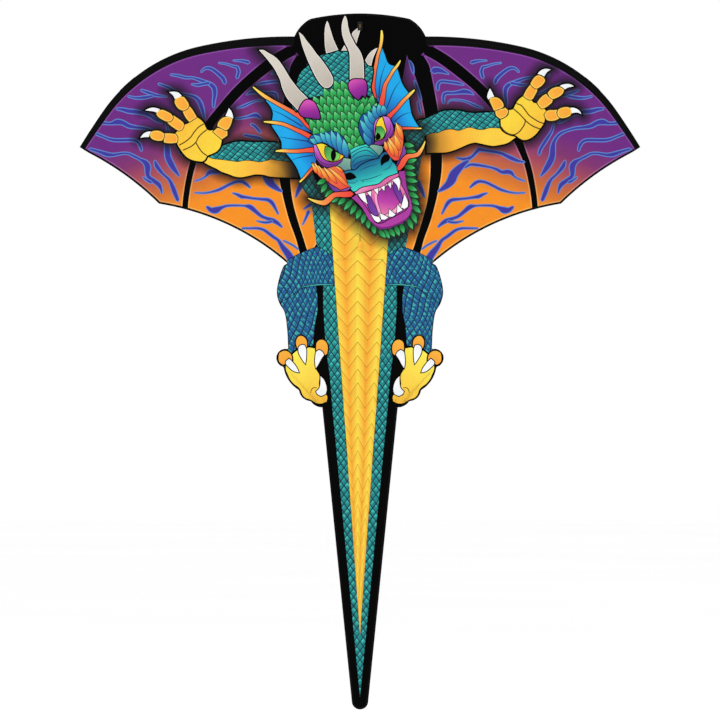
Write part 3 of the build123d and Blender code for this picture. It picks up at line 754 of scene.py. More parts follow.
for line in ([(-20, -338), (-5, -326), (15, -320), (28, -325), (42, -335)], [(-20, -352), (-8, -340),
                                                                             (15, -334), (45, -338)],
             [(-16, -362), (0, -350), (20, -344), (47, -341)], [(-22, -328), (-6, -318), (12, -311),
                                                                (24, -314)]):
    stroke("snout_line", [(x, z, 2.2) for x, z in line])
for lip_line, band, ink in (
        ([(-21, -443), (-8, -454), (5, -469), (15, -486), (21, -501), (31, -514), (44, -522), (61, -527),
          (79, -524),
          (96, -519), (112, -511), (125, -502), (134, -491), (137, -476), (134, -459), (130, -444),
          (126, -430),
          (121, -415), (119, -400), (119, -385), (115, -373), (98, -376), (60, -400), (0, -430)],
          [(60, -527), (60, -400)],
         "mouth"),
        ([(-4, -438), (11, -458), (21, -473), (30, -487), (36, -499), (44, -507), (59, -506), (71, -499),
          (87, -491),
          (104, -482), (117, -474), (125, -464), (125, -451), (120, -436), (114, -423), (107, -410),
          (105, -396),
          (100, -387), (60, -400), (0, -428)], [(60, -505), (50, -420)], "palate")):
    drawn(ink, lip_line, band, 2.0)
stroke("mouth_dark", [(26, -503, 3), (42, -517, 7), (61, -522, 8), (85, -517, 8), (110, -506, 8),
                      (128, -492, 7),
                      (133, -475, 3)])
drawn("lip", [(40, -420), (70, -404), (98, -400), (104, -425), (112, -458), (100, -474), (82, -487),
              (60, -500),
                (50, -495), (44, -470), (38, -445)], [(80, -480), (60, -2400)])
drawn("palate", [(46, -430), (70, -412), (92, -410), (98, -430), (102, -455), (88, -470), (70, -482),
                 (58, -488),
                 (52, -470), (46, -450)], [(75, -420), (62, -490)], 1.5)
for band in ([(15, -438), (25, -436), (34, -456), (43, -473), (48, -487), (38, -489), (28, -479),
              (20, -463)],
             [(87, -401), (96, -405), (104, -423), (110, -443), (107, -458), (101, -449), (91, -430),
              (86, -415)]):
    drawn("jaw_band", band, [band[0], band[4]], 1.5)
for tooth in ([(-5, -433), (12, -430), (14, -441), (19, -459), (5, -448)], [(18, -429), (29, -425),
                                                                            (28, -440)],
              [(35, -421), (47, -417), (46, -434)], [(53, -414), (64, -411), (63, -425)], [(72, -407),
                                                                                           (81, -402),
                                                                                           (80, -418)],
              [(83, -396), (100, -390), (104, -401), (101, -425), (96, -410)],
              [(115, -433), (124, -454), (123, -466), (115, -471), (106, -467), (111, -451)], [(97, -460),
                                                                                               (110, -474),
                                                                                               (96, -482)],
              [(76, -472), (92, -486), (84, -491), (74, -491)], [(51, -482), (73, -493), (64, -499),
                                                                 (55, -498)],
              [(27, -483), (38, -490), (49, -492), (54, -502), (46, -506), (38, -501)]):
    drawn("tooth", tooth, [tooth[0], tooth[-1]], 1.6)
drawn("lip", [(-14, -427), (3, -415), (30, -408), (60, -397), (85, -382), (99, -374), (100, -386),
              (92, -391), (79, -397),
              (66, -407), (56, -413), (43, -417), (31, -421), (18, -425), (3, -430), (-9, -433)],
              [(0, -415), (10, -430)], 1.8)
drawn("snout", [(-47, -383), (-50, -392), (-45, -401), (-35, -406), (-27, -411), (-23, -420), (-17, -426),
                (-10, -425),
                (-2, -418), (10, -413), (26, -410), (48, -405), (59, -396), (72, -387), (86, -382),
                (97, -378), (97, -368),
                (92, -358), (82, -347), (79, -334), (74, -325), (64, -325), (54, -332), (49, -342),
                (34, -345), (18, -350),
                (3, -358), (-7, -368), (-14, -372), (-27, -372), (-38, -375)], [(15, -352), (35, -408)],
                2.5)
drawn("black", [(-38, -380), (-25, -377), (-15, -382), (-8, -390), (-15, -394), (-30, -397), (-39, -391)])
drawn("black", [(64, -330), (74, -331), (78, -340), (74, -348), (64, -353), (55, -361), (53, -350),
                (56, -339)])
for line in ([(-44, -396, 1), (-28, -404, 2), (-10, -404, 1.5)], [(60, -372, 1), (76, -364, 2),
                                                                  (84, -350, 1)],
             [(0, -372, 1), (22, -362, 2), (44, -356, 1)], [(0, -398, 1), (30, -392, 2), (56, -382, 1)]):
    stroke("snout_line", line)
drawn("cheek_purple", [(-88, -398), (-80, -411), (-66, -426), (-48, -427), (-30, -422), (-24, -416),
                       (-45, -409),
                       (-62, -405), (-75, -402)], [(-80, -411), (-40, -410)], 2.0)
drawn("cheek_purple", [(94, -358), (100, -345), (107, -330), (109, -317), (109, -304), (116, -311),
                       (119, -324),
                       (116, -335), (108, -345), (98, -360)], [(98, -355), (112, -310)], 2.0)
for base in ([(-124, -352), (-108, -362), (-90, -368), (-62, -362), (-45, -372), (-30, -415), (-50, -422),
              (-85, -400),
              (-110, -382)],
             [(93, -249), (108, -262), (112, -292), (108, -322), (100, -345), (88, -345), (70, -325),
              (60, -312), (72, -295),
              (88, -280)]):
    drawn("cheek_base", base, [base[5], base[0]], 2.0)
for x0, z0, x1, z1, wide in (
        (-28, -415, -80, -366, 9), (-44, -376, -62, -362, 6), (-60, -405, -93, -365, 10),
        (-80, -401, -108, -360, 9),
        (-100, -390, -117, -353, 9), (-110, -380, -124, -356, 8), (103, -320, 90, -281, 13),
        (99, -338, 74, -289, 13),
        (88, -335, 73, -299, 9), (70, -322, 64, -298, 8), (111, -293, 93, -249, 11)):
    stroke("cheek", [(x0, z0, 2), ((3 * x0 + x1) / 4, (3 * z0 + z1) / 4, wide),
                     ((x0 + x1) / 2, (z0 + z1) / 2 + 1, wide),
                     (x1, z1, 1)], 1.2, axis=True, rim_ink="cheek_line")
beard = (
        (115, -305, 135, -308), (120, -323, 142, -325), (122, -350, 142, -345), (117, -362, 138, -365),
        (118, -378, 140, -383), (120, -395, 144, -400), (123, -413, 143, -422), (127, -430, 147, -440),
        (134, -446, 149, -458), (137, -464, 153, -478), (135, -481, 144, -504), (124, -497, 134, -519),
        (106, -511, 112, -529), (92, -516, 100, -536), (77, -523, 87, -539), (63, -525, 74, -543),
        (49, -527, 63, -542),
        (33, -515, 37, -531), (20, -501, 21, -517), (11, -484, 6, -505), (1, -473, -7, -493),
        (-10, -461, -22, -481),
        (-20, -449, -38, -470), (-38, -444, -53, -457), (-56, -441, -70, -451), (-72, -424, -87, -437),
        (-87, -407, -98, -425), (-89, -396, -107, -405))
between_leaves = np.array([np.add(one, two) / 2 for one, two in zip(beard, beard[1:])])
for row, ink, extra, width in ((between_leaves, "beard_back", 2, 11), (beard, "beard", 5, 12)):
    for x0, z0, x1, z1 in row:
        leaf(x0, z0, np.arctan2(x1 - x0, z1 - z0), np.hypot(x1 - x0, z1 - z0) + extra, width, ink)
for whisker in (
        [(-23, -433, 14), (-40, -434, 14), (-55, -434, 12), (-68, -436, 12), (-80, -446, 14),
         (-92, -455, 13),
         (-106, -454, 9), (-120, -450, 6), (-134, -444, 2)],
        [(100, -368, 10), (109, -356, 14), (115, -345, 14), (124, -336, 12), (138, -334, 10),
         (150, -330, 10),
         (158, -319, 8), (164, -308, 5), (168, -297, 2)]):
    stroke("spine", whisker, 2.5, axis=True)


# Inks: every ink is printed on the same ripstop nylon, a plain weave with a doubled thread every
# 6 mm both ways. The dye soaks in, so weave and grid show through it, and the soft shadows round
# the arms and the head are printed too.
THREAD, GRID, GRID_LINE = 0.9, 6.0, 0.28


def maths(tree, operation, first, second=None, third=None):
    """A sum on numbers or on other nodes' outputs."""
    made = tree.nodes.new("ShaderNodeMath")
    made.operation = operation
    for slot, value in enumerate((first, second, third)):
        if isinstance(value, (int, float)):
            made.inputs[slot].default_value = value
        elif value is not None:
            tree.links.new(value, made.inputs[slot])
    return made.outputs[0]


def woven_cloth():
    """The weave: it darkens an ink by its printed shadow and, as painted shade, in the hollows of
    its creases, and gives roughness and height.
    """
    group = bpy.data.node_groups.new("ripstop", "ShaderNodeTree")
    for name, kind in (("Ink", "NodeSocketColor"), ("Shadow", "NodeSocketFloat"), ("Place",
                                                                                   "NodeSocketVector")):
        group.interface.new_socket(name, in_out="INPUT", socket_type=kind)
    for name, kind in (("Ink", "NodeSocketColor"), ("Roughness", "NodeSocketFloat"), ("Height",
                                                                                      "NodeSocketFloat")):
        group.interface.new_socket(name, in_out="OUTPUT", socket_type=kind)
    enter, leave = group.nodes.new("NodeGroupInput"), group.nodes.new("NodeGroupOutput")
    split = node(group, "SeparateXYZ")
    group.links.new(enter.outputs["Place"], split.inputs[0])
    threads = []
    for way in ("X", "Y"):
        fine = maths(group, "SINE", maths(group, "MULTIPLY", split.outputs[way], 2 * pi / THREAD))
        thick = maths(group, "PINGPONG", split.outputs[way], GRID / 2)
        thick = maths(group, "LESS_THAN", thick, GRID_LINE)
        threads.append((fine, thick))
    weave = maths(group, "MULTIPLY", threads[0][0], threads[1][0])
    grid = maths(group, "MAXIMUM", threads[0][1], threads[1][1])
    crease = node(group, "TexNoise", Scale=0.035, Detail=4.0)
    group.links.new(enter.outputs["Place"], crease.inputs["Vector"])
    height = maths(group, "MULTIPLY_ADD", weave, 0.12, maths(group, "MULTIPLY", grid, 0.5))
    height = maths(group, "MULTIPLY_ADD", crease.outputs["Fac"], 6.0, height)
    group.links.new(height, leave.inputs["Height"])
    light = maths(group, "MULTIPLY_ADD", grid, 0.07, maths(group, "MULTIPLY_ADD", weave, 0.04, 0.72))
    # Painted shade: the ink darkens where the crease noise is low, in the hollows of the creases.
    light = maths(group, "MULTIPLY", light, maths(group, "MULTIPLY_ADD", crease.outputs["Fac"], 0.16, 0.92))
    light = maths(group, "MULTIPLY", light, maths(group, "SUBTRACT", 1.0, enter.outputs["Shadow"]))
    tint = node(group, "VectorMath", operation="SCALE")
    group.links.new(enter.outputs["Ink"], tint.inputs[0])
    group.links.new(light, tint.inputs["Scale"])
    group.links.new(tint.outputs[0], leave.inputs["Ink"])
    rough = maths(group, "MULTIPLY_ADD", crease.outputs["Fac"], 0.2, maths(group, "MULTIPLY_ADD",
                                                                           grid, -0.12, 0.5))
    group.links.new(rough, leave.inputs["Roughness"])
    return group


ripstop = woven_cloth()
inks = {}


def new_ink(name, stops=None, paint=None):
    """An ink on ripstop. Its mix runs along the tone, or paint(tree, x, z) draws a pattern."""
    material, tree, shader = new_material("ink_" + name, 0.5, 0.03 if name == "black" else 0.15)
    place = node(tree, "Attribute", attribute_name="pattern")
    cloth = tree.nodes.new("ShaderNodeGroup")
    cloth.node_tree = ripstop
    if paint:
        split = node(tree, "SeparateXYZ")
        tree.links.new(place.outputs["Vector"], split.inputs[0])
        mix = paint(tree, split.outputs["X"], split.outputs["Y"])
    else:
        tone = node(tree, "Attribute", attribute_name="tone")
        mix = ramp(tree, tone.outputs["Fac"], stops)
    shadow = node(tree, "Attribute", attribute_name="shadow")
    tree.links.new(mix, cloth.inputs["Ink"])
    tree.links.new(shadow.outputs["Fac"], cloth.inputs["Shadow"])
    tree.links.new(place.outputs["Vector"], cloth.inputs["Place"])
    tree.links.new(cloth.outputs["Ink"], shader.inputs["Base Color"])
    tree.links.new(cloth.outputs["Roughness"], shader.inputs["Roughness"])
    bump = node(tree, "Bump", Strength=0.5, Distance=0.0004)
    tree.links.new(cloth.outputs["Height"], bump.inputs["Height"])
    tree.links.new(bump.outputs[0], shader.inputs["Normal"])
    inks[name] = material


FADE_FOOT, FADE_HEIGHT = 345.0, 300.0


def wing_fade(lift):
    """Purple near the shoulders, orange at the trailing edge. Lift 1 gives the paler rim."""
    mixes = [("F7901A", "FFB45A"), ("CC6B2E", "DC9560"), ("A5475A", "BC7284"), ("80306C", "A4619A"),
             ("6C2380", "8848A0")]

    def paint(tree, x, z):
        fall = maths(tree, "MULTIPLY_ADD", maths(tree, "ABSOLUTE", x), 0.36, z)
        fall = maths(tree, "DIVIDE", maths(tree, "ADD", fall, FADE_FOOT), FADE_HEIGHT)
        stops = [(at, mix[lift]) for at, mix in zip((0.13, 0.34, 0.54, 0.67, 0.87), mixes)]
        return ramp(tree, fall, stops)
    return paint


def scales(wide, high, slant, mixes, uneven, wander=0.0):
    """Rows of pointed overlapping scales with dark borders, each lit along one side. Some are lit
    more than others, by uneven, and the rows swing sideways by up to wander."""
    def paint(tree, x, z):
        x = maths(tree, "MULTIPLY_ADD", z, slant, x)
        place = node(tree, "CombineXYZ")
        tree.links.new(x, place.inputs[0])
        tree.links.new(z, place.inputs[1])
        bend = node(tree, "TexNoise", Scale=0.01, Detail=0.0)
        tree.links.new(place.outputs[0], bend.inputs["Vector"])
        x = maths(tree, "MULTIPLY_ADD", maths(tree, "SUBTRACT", bend.outputs["Fac"], 0.5), wander, x)
        cells = [maths(tree, "FRACT", maths(tree, "MULTIPLY_ADD", x, sign / wide, maths(tree, "DIVIDE",
                                                                                        z, high)))
                 for sign in (1, -1)]
        edges = [maths(tree, "MINIMUM", maths(tree, "MULTIPLY", cell, 1.7), maths(tree, "SUBTRACT",
                                                                                  1.0, cell))
                 for cell in cells]
        grain = node(tree, "TexNoise", Scale=0.09)
        tree.links.new(place.outputs[0], grain.inputs["Vector"])
        value = maths(tree, "MINIMUM", *edges)
        value = maths(tree, "MULTIPLY_ADD", maths(tree, "SUBTRACT", grain.outputs["Fac"], 0.5), 0.12, value)
        border = maths(tree, "MULTIPLY", maths(tree, "SUBTRACT", value, 0.08), 7.0)
        lit = maths(tree, "MULTIPLY_ADD", cells[0], 0.4, maths(tree, "MULTIPLY", cells[1], 0.6))
        lit = maths(tree, "MULTIPLY_ADD", maths(tree, "SUBTRACT", grain.outputs["Fac"], 0.5), uneven, lit)
        value = maths(tree, "MINIMUM", border, maths(tree, "MAXIMUM", lit, 0.3))
        return ramp(tree, value, [(0.05, mixes[0]), (0.3, mixes[1]), (0.45, mixes[1]), (0.8, mixes[2])])
    return paint


PLATE, ZIGZAG, BELLY_POINT, BELLY_TAPER, FOLD = 35.0, 31.0, 1571.0, 0.0715, 0.46


def belly_plates(tree, x, z):
    """Gold plates with a zigzag seam at every plate, yellow along the middle and both sides."""
    half = maths(tree, "MULTIPLY", maths(tree, "ADD", z, BELLY_POINT), BELLY_TAPER)
    half = maths(tree, "MAXIMUM", half, 1.0)
    across = maths(tree, "DIVIDE", maths(tree, "ABSOLUTE", maths(tree, "ADD", x, 6.0)), half)
    fold = maths(tree, "DIVIDE", maths(tree, "PINGPONG", across, FOLD), FOLD)
    line = maths(tree, "MULTIPLY_ADD", fold, ZIGZAG, maths(tree, "ADD", z, 8.0))
    line = maths(tree, "DIVIDE", line, PLATE)
    seam = maths(tree, "GREATER_THAN", maths(tree, "FRACT", line), 0.93)
    warm = maths(tree, "MULTIPLY_ADD", maths(tree, "FRACT", line), 0.25, maths(tree, "MULTIPLY",
                                                                               fold, 0.75))
    warm = maths(tree, "MULTIPLY", warm, maths(tree, "SUBTRACT", 1.0, seam))
    warm = maths(tree, "ADD", warm, maths(tree, "MULTIPLY", seam, 2.0))
    golds = [(0.02, "FCE24C"), (0.28, "FBC23C"), (0.48, "F8A42C"), (0.6, "C98A16")]
    return ramp(tree, maths(tree, "DIVIDE", warm, 2.0), golds)


TEAL, BLUE = ("06242F", "14868A", "45C8BC"), ("07283C", "195E98", "40B8AC")
new_ink("wing_fade", paint=wing_fade(0))
new_ink("wing_rim", paint=wing_fade(1))
new_ink("body_scales", paint=scales(16.5, 23.0, 0.0, TEAL, 1.2))
new_ink("arm_scales", paint=scales(20.0, 15.0, 0.35, TEAL, 1.2))
new_ink("leg_scales", paint=scales(14.0, 24.0, 0.2, BLUE, 1.8, 45.0))
new_ink("belly", paint=belly_plates)
for ink_name, mixes in {
        "black": ["010101"], "stripe": ["3A349E", "4A35A8"], "stripe_rim": ["5A84C8"], "palm": ["FBD93C",
                                                                                                "FAC238"],
        "finger": ["FBB43A", "FAA434"], "finger_rim": ["FFD45E"], "crease": ["4A3600"], "claw": ["F2F6F8",
                                                                                                 "FFFFFF"],
        "underarm": ["2A1C02", "F9B136", "FCCF40"], "horn": ["BCB3A8", "D2CABF", "DDD6CB"],
        "horn_rim": ["F2EDE5"],
        "knob": ["D24FB0", "9A2498", "6E1480"], "leaf": ["0A5A28", "0E7A34", "1F9C48", "3DB863", "8EDD9E"],
        "leaf_dark": ["052A14"],
        "fin": ["1450A4", "1284D2", "10A8EA", "10A8EA"], "spine": ["EE4136", "F2603E", "F7954A", "FFEE60"],
        "fin_line": ["0A3A70"],
        "brow": ["10306E", "17489C", "1F5CA8"], "feather": ["1A4C9A", "2C96BE", "66DCC8"], "lid": ["6A1E7A",
                                                                                                   "B04ABC",
                                                                                                   "D07AD4"], "lid_line": ["4A1258"],
        "eye": ["F8DA2E", "F9B82A"], "iris": ["1F8A4A", "7AD85A"], "bridge": ["5C8C8A", "86B4A0"],
        "snout": ["0C5F90", "1EA0AA", "3EDCCB"], "snout_line": ["083A5C"], "lip": ["F7A8CC", "E06AA8"],
        "mouth": ["B43CA2", "9C3296"], "mouth_dark": ["7E1A80", "A02C98"], "palate": ["8E2090", "C040A8",
                                                                                      "F080B0"],
        "jaw_band": ["5B2C8A", "7A3CA8"], "tooth": ["F4F8F8", "FFFFFF"], "cheek": ["E8402E", "F5802E",
                                                                                   "FBB048", "FCE88A"],
                                                                                   "cheek_base": ["E8483A",
                                                                                                  "F58A3A"],
                                                                                                  "cheek_line": ["6A1A10"],
        "cheek_purple": ["5A2A8C", "8A48B0"], "foot": ["FFEE54", "FCC03C"], "beard": ["0A5A2A", "1F9648",
                                                                                      "4FC878"],
                                                                                      "beard_back": ["041C0C", "0A4A20"],
        "crest_base": ["07401E"], "leg_light": ["4CC8BC"]}.items():
    last = max(len(mixes) - 1, 1)
    new_ink(ink_name, [(i / last, mix) for i, mix in enumerate(mixes)])


# Sail panels: thirteen pieces of the printed ripstop, each cut along its own outline and sewn to
# the next. They are set on the frame, swept 5 degrees back, with a shallow belly between the
# lines where rods and seams hold the cloth.
BELLY_DEPTH, BELLY_REACH, SLACK_FOOT, MESH_STEP = 8.0, 55.0, -970.0, 7.0


def nearest(points):
    """A tree that finds the nearest of the given flat points."""
    tree = kdtree.KDTree(len(points))
    for i, (x, z) in enumerate(points):
        tree.insert((x, z, 0), i)
    tree.balance()
    return tree


held = [edge_point(s, inset) for inset in (0, 5, 10, 16, 22, BAND) for s in np.arange(0, EDGE_LENGTH + 6,
                                                                                      6.0)]
held += [edge_point(s, inset) for inset in (-4, 5, 14) for s in np.arange(-150, 0, 5.0)] + seam_a + seam_b
held += [(0.0, z) for z in np.arange(SLACK_FOOT, 30.0, 8.0)]
held_lines = nearest([(side * x, z) for x, z in held for side in BOTH])


def on_kite(x, z, out=0.0):
    """Where a point of the flat cut sits on the kite, in metres; out is towards the front."""
    y = SAIL_Y + 0.3 - out
    if z > SLACK_FOOT:
        slack = held_lines.find((x, z, 0))[2]
        y += BELLY_DEPTH * (1 - np.exp(-(slack / BELLY_REACH) ** 2))
    ease = min(max((SLACK_FOOT - z) / 120, 0), 1)
    y += ease * 2.5 * sin((z - SLACK_FOOT) / 70)
    drop = min(max((WING_FOOT - z) / 250, 0), 1)
    turn = DIHEDRAL * (1 - drop * drop * (3 - 2 * drop))
    side = np.sign(x)
    arm, depth = max(abs(x) - HINGE_X, 0), y - SPINE_Y
    near = min(abs(x) / HINGE_X, 1)
    x = side * (min(abs(x), HINGE_X) + arm * cos(turn) - near * depth * sin(turn))
    y = SPINE_Y + arm * sin(turn) + (1 - near) * depth + near * depth * cos(turn)
    return x / 1000, y / 1000, z / 1000


layer_lines = {top: nearest(np.vstack([line for ink, line, at,
                                       axis in art if at == top])) for top in (1, 2)}


def printed_sheet(name, outline, out=0.0):
    """A panel of the sail. The print's outlines are let into its mesh, and every face takes the
    ink on top. Tone runs along a shape's axis, and shadow fades away from the layer above."""
    outline = np.array(outline, float)
    low, high = outline.min(0), outline.max(0)
    used = [s for s in art if (s[1].max(0) > low).all() and (s[1].min(0) < high).all()]
    points, edges = [outline], [np.stack([np.arange(len(outline)), np.roll(np.arange(len(outline)), -1)],
                                         1)]
    count = len(outline)
    for ink, line, at, axis in used:
        ring = np.arange(len(line))
        points.append(line)
        edges.append(np.stack([ring, np.roll(ring, -1)], 1) + count)
        count += len(line)
    across, up = np.meshgrid(*(np.arange(low[i] + MESH_STEP / 2, high[i], MESH_STEP) for i in (0, 1)))
    across[1::2] += MESH_STEP / 2
    mesh_grid = np.stack([across.ravel(), up.ravel()], 1)
    points.append(mesh_grid[inside(grown(outline, -1.5), mesh_grid)])
    points = np.vstack(points)
    cut = geometry.delaunay_2d_cdt([Vector(p) for p in points], np.vstack(edges).tolist(), [],
                                   0, 1e-3, False)
    flat, faces = np.array([tuple(v) for v in cut[0]]), np.array(cut[2])
    middle = flat[faces].mean(1)
    keep = inside(outline, middle)
    faces, middle = faces[keep], middle[keep]
    on_top = np.full(len(faces), -1)
    for number, (ink, line, at, axis) in enumerate(used):
        near = np.nonzero(((middle > line.min(0)) & (middle < line.max(0))).all(1))[0]
        on_top[near[inside(line, middle[near])]] = number
    names = ["black"] + sorted({s[0] for s in used} - {"black"})
    tone, shadow = np.zeros(faces.shape), np.zeros(faces.shape)
    slot = np.zeros(len(faces), int)
    face_layer = np.zeros(len(faces), int)
    for number, (ink, line, at, axis) in enumerate(used):
        mine = np.nonzero(on_top == number)[0]
        slot[mine], face_layer[mine] = names.index(ink), at
        if axis:
            start, end = np.array(axis[0]), np.array(axis[1])
            run = end - start
            tone[mine] = ((flat[faces[mine]] - start) @ run) / max(run @ run, 1e-9)
    for top, width, depth in ((1, 26.0, 0.96), (2, 34.0, 0.97)):
        reach = np.array([layer_lines[top].find((x, z, 0))[2] for x, z in flat])
        fade = np.clip(1 - reach / width, 0, 1) ** 0.8 * depth
        under = face_layer < top
        shadow[under] = np.maximum(shadow[under], fade[faces[under]])
    used_points, faces = np.unique(faces, return_inverse=True)
    flat, faces = flat[used_points], faces.reshape(-1, 3)
    mesh = bpy.data.meshes.new(name)
    mesh.from_pydata([on_kite(x, z, out) for x, z in flat], [], faces.tolist())
    for ink in names:
        mesh.materials.append(inks[ink])
    mesh.polygons.foreach_set("material_index", slot)
    mesh.polygons.foreach_set("use_smooth", np.ones(len(faces), bool))
    place = mesh.attributes.new("pattern", "FLOAT_VECTOR", "POINT")
    place.data.foreach_set("vector", np.column_stack([flat, np.zeros(len(flat))]).ravel())
    mesh.attributes.new("tone", "FLOAT", "CORNER").data.foreach_set("value", np.clip(tone, 0, 1).ravel())
    mesh.attributes.new("shadow", "FLOAT", "CORNER").data.foreach_set("value", shadow.ravel())
    piece = placed(name, mesh)
    return piece


LAP, STRIP_HALF, STRIP_OUT = 6.0, 12.0, 0.7
half_crown = [(0.0, 32.5)] + [p for p in crown if p[0] > 1]
torso_cut = half_crown + seam_a[:-3] + [(128.0, WING_FOOT - LAP), (0.0, WING_FOOT - LAP)]
lap = [edge_point(s, band_width(s) - 5) for s in np.linspace(0, EDGE_LENGTH, 60)]
outer_cut = [(170.0, -45.0)] + lap + scallops[:1] + between(scallops[1:], 457.5, 999) + seam_b[::-1]
inner_cut = seam_b + between(scallops, 128, 457)
inner_cut = [p for p in inner_cut if p[1] > WING_FOOT] + [sail_foot, (128.0, WING_FOOT)] + seam_a[::-1][3:]
body_cut = [(0.0, WING_FOOT), sail_foot] + body_side + [(0.0, BODY_FOOT)]
strip_top = WING_FOOT + 15
strip_cut = [(-STRIP_HALF, strip_top), (STRIP_HALF, strip_top), (STRIP_HALF, BODY_FOOT),
             (-STRIP_HALF, BODY_FOOT)]
for side, hand in ((-1, "left"), (1, "right")):
    for title, cut_line, node_names in (
            ("torso_sail", torso_cut, ("torso_panel_" + hand, "spine_strip")),
            ("inner_wing_sail", inner_cut, ("inner_wing_panel_" + hand,)),
            ("outer_wing_sail", outer_cut, ("outer_wing_panel_" + hand,)),
            ("leg_sail", body_cut, ("lower_body_panel",))):
        piece = printed_sheet(f"{title}_{hand}", [(side * x, z) for x, z in cut_line])
        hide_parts(*node_names)
        if title == "torso_sail":
            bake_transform(piece)
        elif title == "leg_sail":
            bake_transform(piece)
        else:
            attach(piece, "wing_" + hand)
piece = printed_sheet("tail_root_sail", strip_cut, STRIP_OUT)
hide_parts("lower_body_panel")
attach(piece, "root")

# Tail: four lengths of the printed ripstop that trail below the spine, each meeting the one above
# along its seam. The last ends in a half round.
TAIL_TOP_HALF, TIP_RADIUS, TAIL_PIECES = 97, 21, 4


def tail_half(z):
    """Half the tail's width."""
    taper = (BODY_FOOT - z) / (BODY_FOOT - TAIL_TIP - TIP_RADIUS)
    return TAIL_TOP_HALF + (TIP_RADIUS - TAIL_TOP_HALF) * taper


def tail_ends(number):
    """The heights of a tail piece's upper and lower seam."""
    length = (BODY_FOOT - TAIL_TIP) / TAIL_PIECES
    return BODY_FOOT - number * length, BODY_FOOT - (number + 1) * length


def tail_tip(low, count):
    return arc((TIP_RADIUS, low + TIP_RADIUS), (0, low), (-TIP_RADIUS, low + TIP_RADIUS), count)


for number in range(TAIL_PIECES):
    top, low = tail_ends(number)
    if number < TAIL_PIECES - 1:
        cut_line = [(-tail_half(top), top), (tail_half(top), top), (tail_half(low), low), (-tail_half(low),
                                                                                           low)]
    else:
        cut_line = [(-tail_half(top), top), (tail_half(top), top)] + tail_tip(low, 16)
    piece = printed_sheet(f"tail_sail_{number + 1}", cut_line)
    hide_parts(f"tail_panel_{number + 1}")
    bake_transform(piece)


# Sewn tapes: black polyester bindings, bands and seams that follow a line on the sail and hold
# its edges. Each section is drawn as (inset, out) points, and the thread shows as dashes along
# the stitch lines. What lies past STITCHED, the inner stitches of a band, can be narrowed.
STITCHED, STITCH, STITCH_GAP, THREAD_HALF = 12.0, 2.5, 0.9, 0.45


def sewn_cloth(name, mix, stitches, rib=1.1, roughness=0.6, specular=0.05):
    material, tree, shader = new_material(name, roughness, specular)
    place = node(tree, "Attribute", attribute_name="pattern")
    split = node(tree, "SeparateXYZ")
    tree.links.new(place.outputs["Vector"], split.inputs[0])
    along, inset = split.outputs["X"], split.outputs["Y"]
    dash = maths(tree, "LESS_THAN", maths(tree, "MODULO", along, STITCH + STITCH_GAP), STITCH)
    thread = None
    for line in stitches:
        near = maths(tree, "COMPARE", inset, float(line), THREAD_HALF)
        thread = near if thread is None else maths(tree, "MAXIMUM", thread, near)
    thread = maths(tree, "MULTIPLY", thread, dash)
    weave = maths(tree, "MULTIPLY", maths(tree, "SINE", maths(tree, "MULTIPLY", along, 2 * pi / rib)),
                  maths(tree, "SINE", maths(tree, "MULTIPLY", inset, 2 * pi / rib)))
    wear = node(tree, "TexNoise", Scale=0.05, Detail=3.0)
    tree.links.new(place.outputs["Vector"], wear.inputs["Vector"])
    shade = maths(tree, "MULTIPLY_ADD", weave, 0.16, maths(tree, "MULTIPLY", wear.outputs["Fac"], 0.6))
    shade = maths(tree, "ADD", shade, thread)
    tree.links.new(ramp(tree, shade, [(0.1, mix[0]), (0.6, mix[1]), (0.99, mix[2])]),
                   shader.inputs["Base Color"])
    bump = node(tree, "Bump", Strength=0.7, Distance=0.0004)
    height = maths(tree, "MULTIPLY_ADD", thread, 1.2, maths(tree, "MULTIPLY", weave, 0.3))
    tree.links.new(height, bump.inputs["Height"])
    tree.links.new(bump.outputs[0], shader.inputs["Normal"])
    return material


BLACK = ("010101", "040405", "18181B")
binding_cloth = sewn_cloth("binding_cloth", BLACK, (3.9,))
band_cloth = sewn_cloth("band_cloth", BLACK, (25.5, 12.0))
seam_cloth = sewn_cloth("seam_cloth", BLACK, (-3.2, 3.2))
tunnel_cloth = sewn_cloth("tunnel_cloth", BLACK, (-6.4, 6.4))
webbing = sewn_cloth("black_webbing", ("050506", "121214", "3A3A3E"), (-6.6, 6.6), 2.2, 0.7)


def distances(line):
    """How far along a line each of its points lies."""
    return np.concatenate([[0], np.cumsum(np.hypot(*np.diff(line, axis=0).T))])


def sewn_strip(name, parts, material):
    """One piece from parts of (line, section, depths, spans): a section carried along a line on the
    sail. Per point of the line, depths scales the section outwards and spans what is past STITCHED."""
    vertices, faces, pattern = [], [], []
    for line, section, depths, spans in parts:
        line = np.array(line, float)
        along = np.gradient(line, axis=0)
        along /= lengths(along)
        inward = np.stack([along[:, 1], -along[:, 0]], 1)
        first, count = len(vertices), len(section)
        full = [1.0] * len(line)
        for at, normal, distance, depth, span in zip(line, inward, distances(line),
                                                     depths or full, spans or full):
            for inset, out in section:
                past = max(abs(inset) - STITCHED, 0) * np.sign(inset)
                x, z = at + normal * (inset + past * (span - 1))
                vertices.append(on_kite(x, z, out * depth))
                pattern.append((distance, inset, 0.0))
        for i in range(len(line) - 1):
            for k in range(count - 1):
                a = first + i * count + k
                faces.append((a, a + 1, a + count + 1, a + count))
    mesh = bpy.data.meshes.new(name)
    mesh.from_pydata(vertices, [], faces)
    mesh.attributes.new("pattern", "FLOAT_VECTOR", "POINT").data.foreach_set("vector", np.ravel(pattern))
    mesh.polygons.foreach_set("use_smooth", np.ones(len(faces), bool))
    mesh.materials.append(material)
    piece = placed(name, mesh)
    return piece


def even(line, step=7.0):
    """The same line with evenly spaced points."""
    line = np.array(line, float)
    run = distances(line)
    stops = np.linspace(0, run[-1], max(2, int(run[-1] / step)))
    return np.stack([np.interp(stops, run, line[:, 0]), np.interp(stops, run, line[:, 1])], 1)


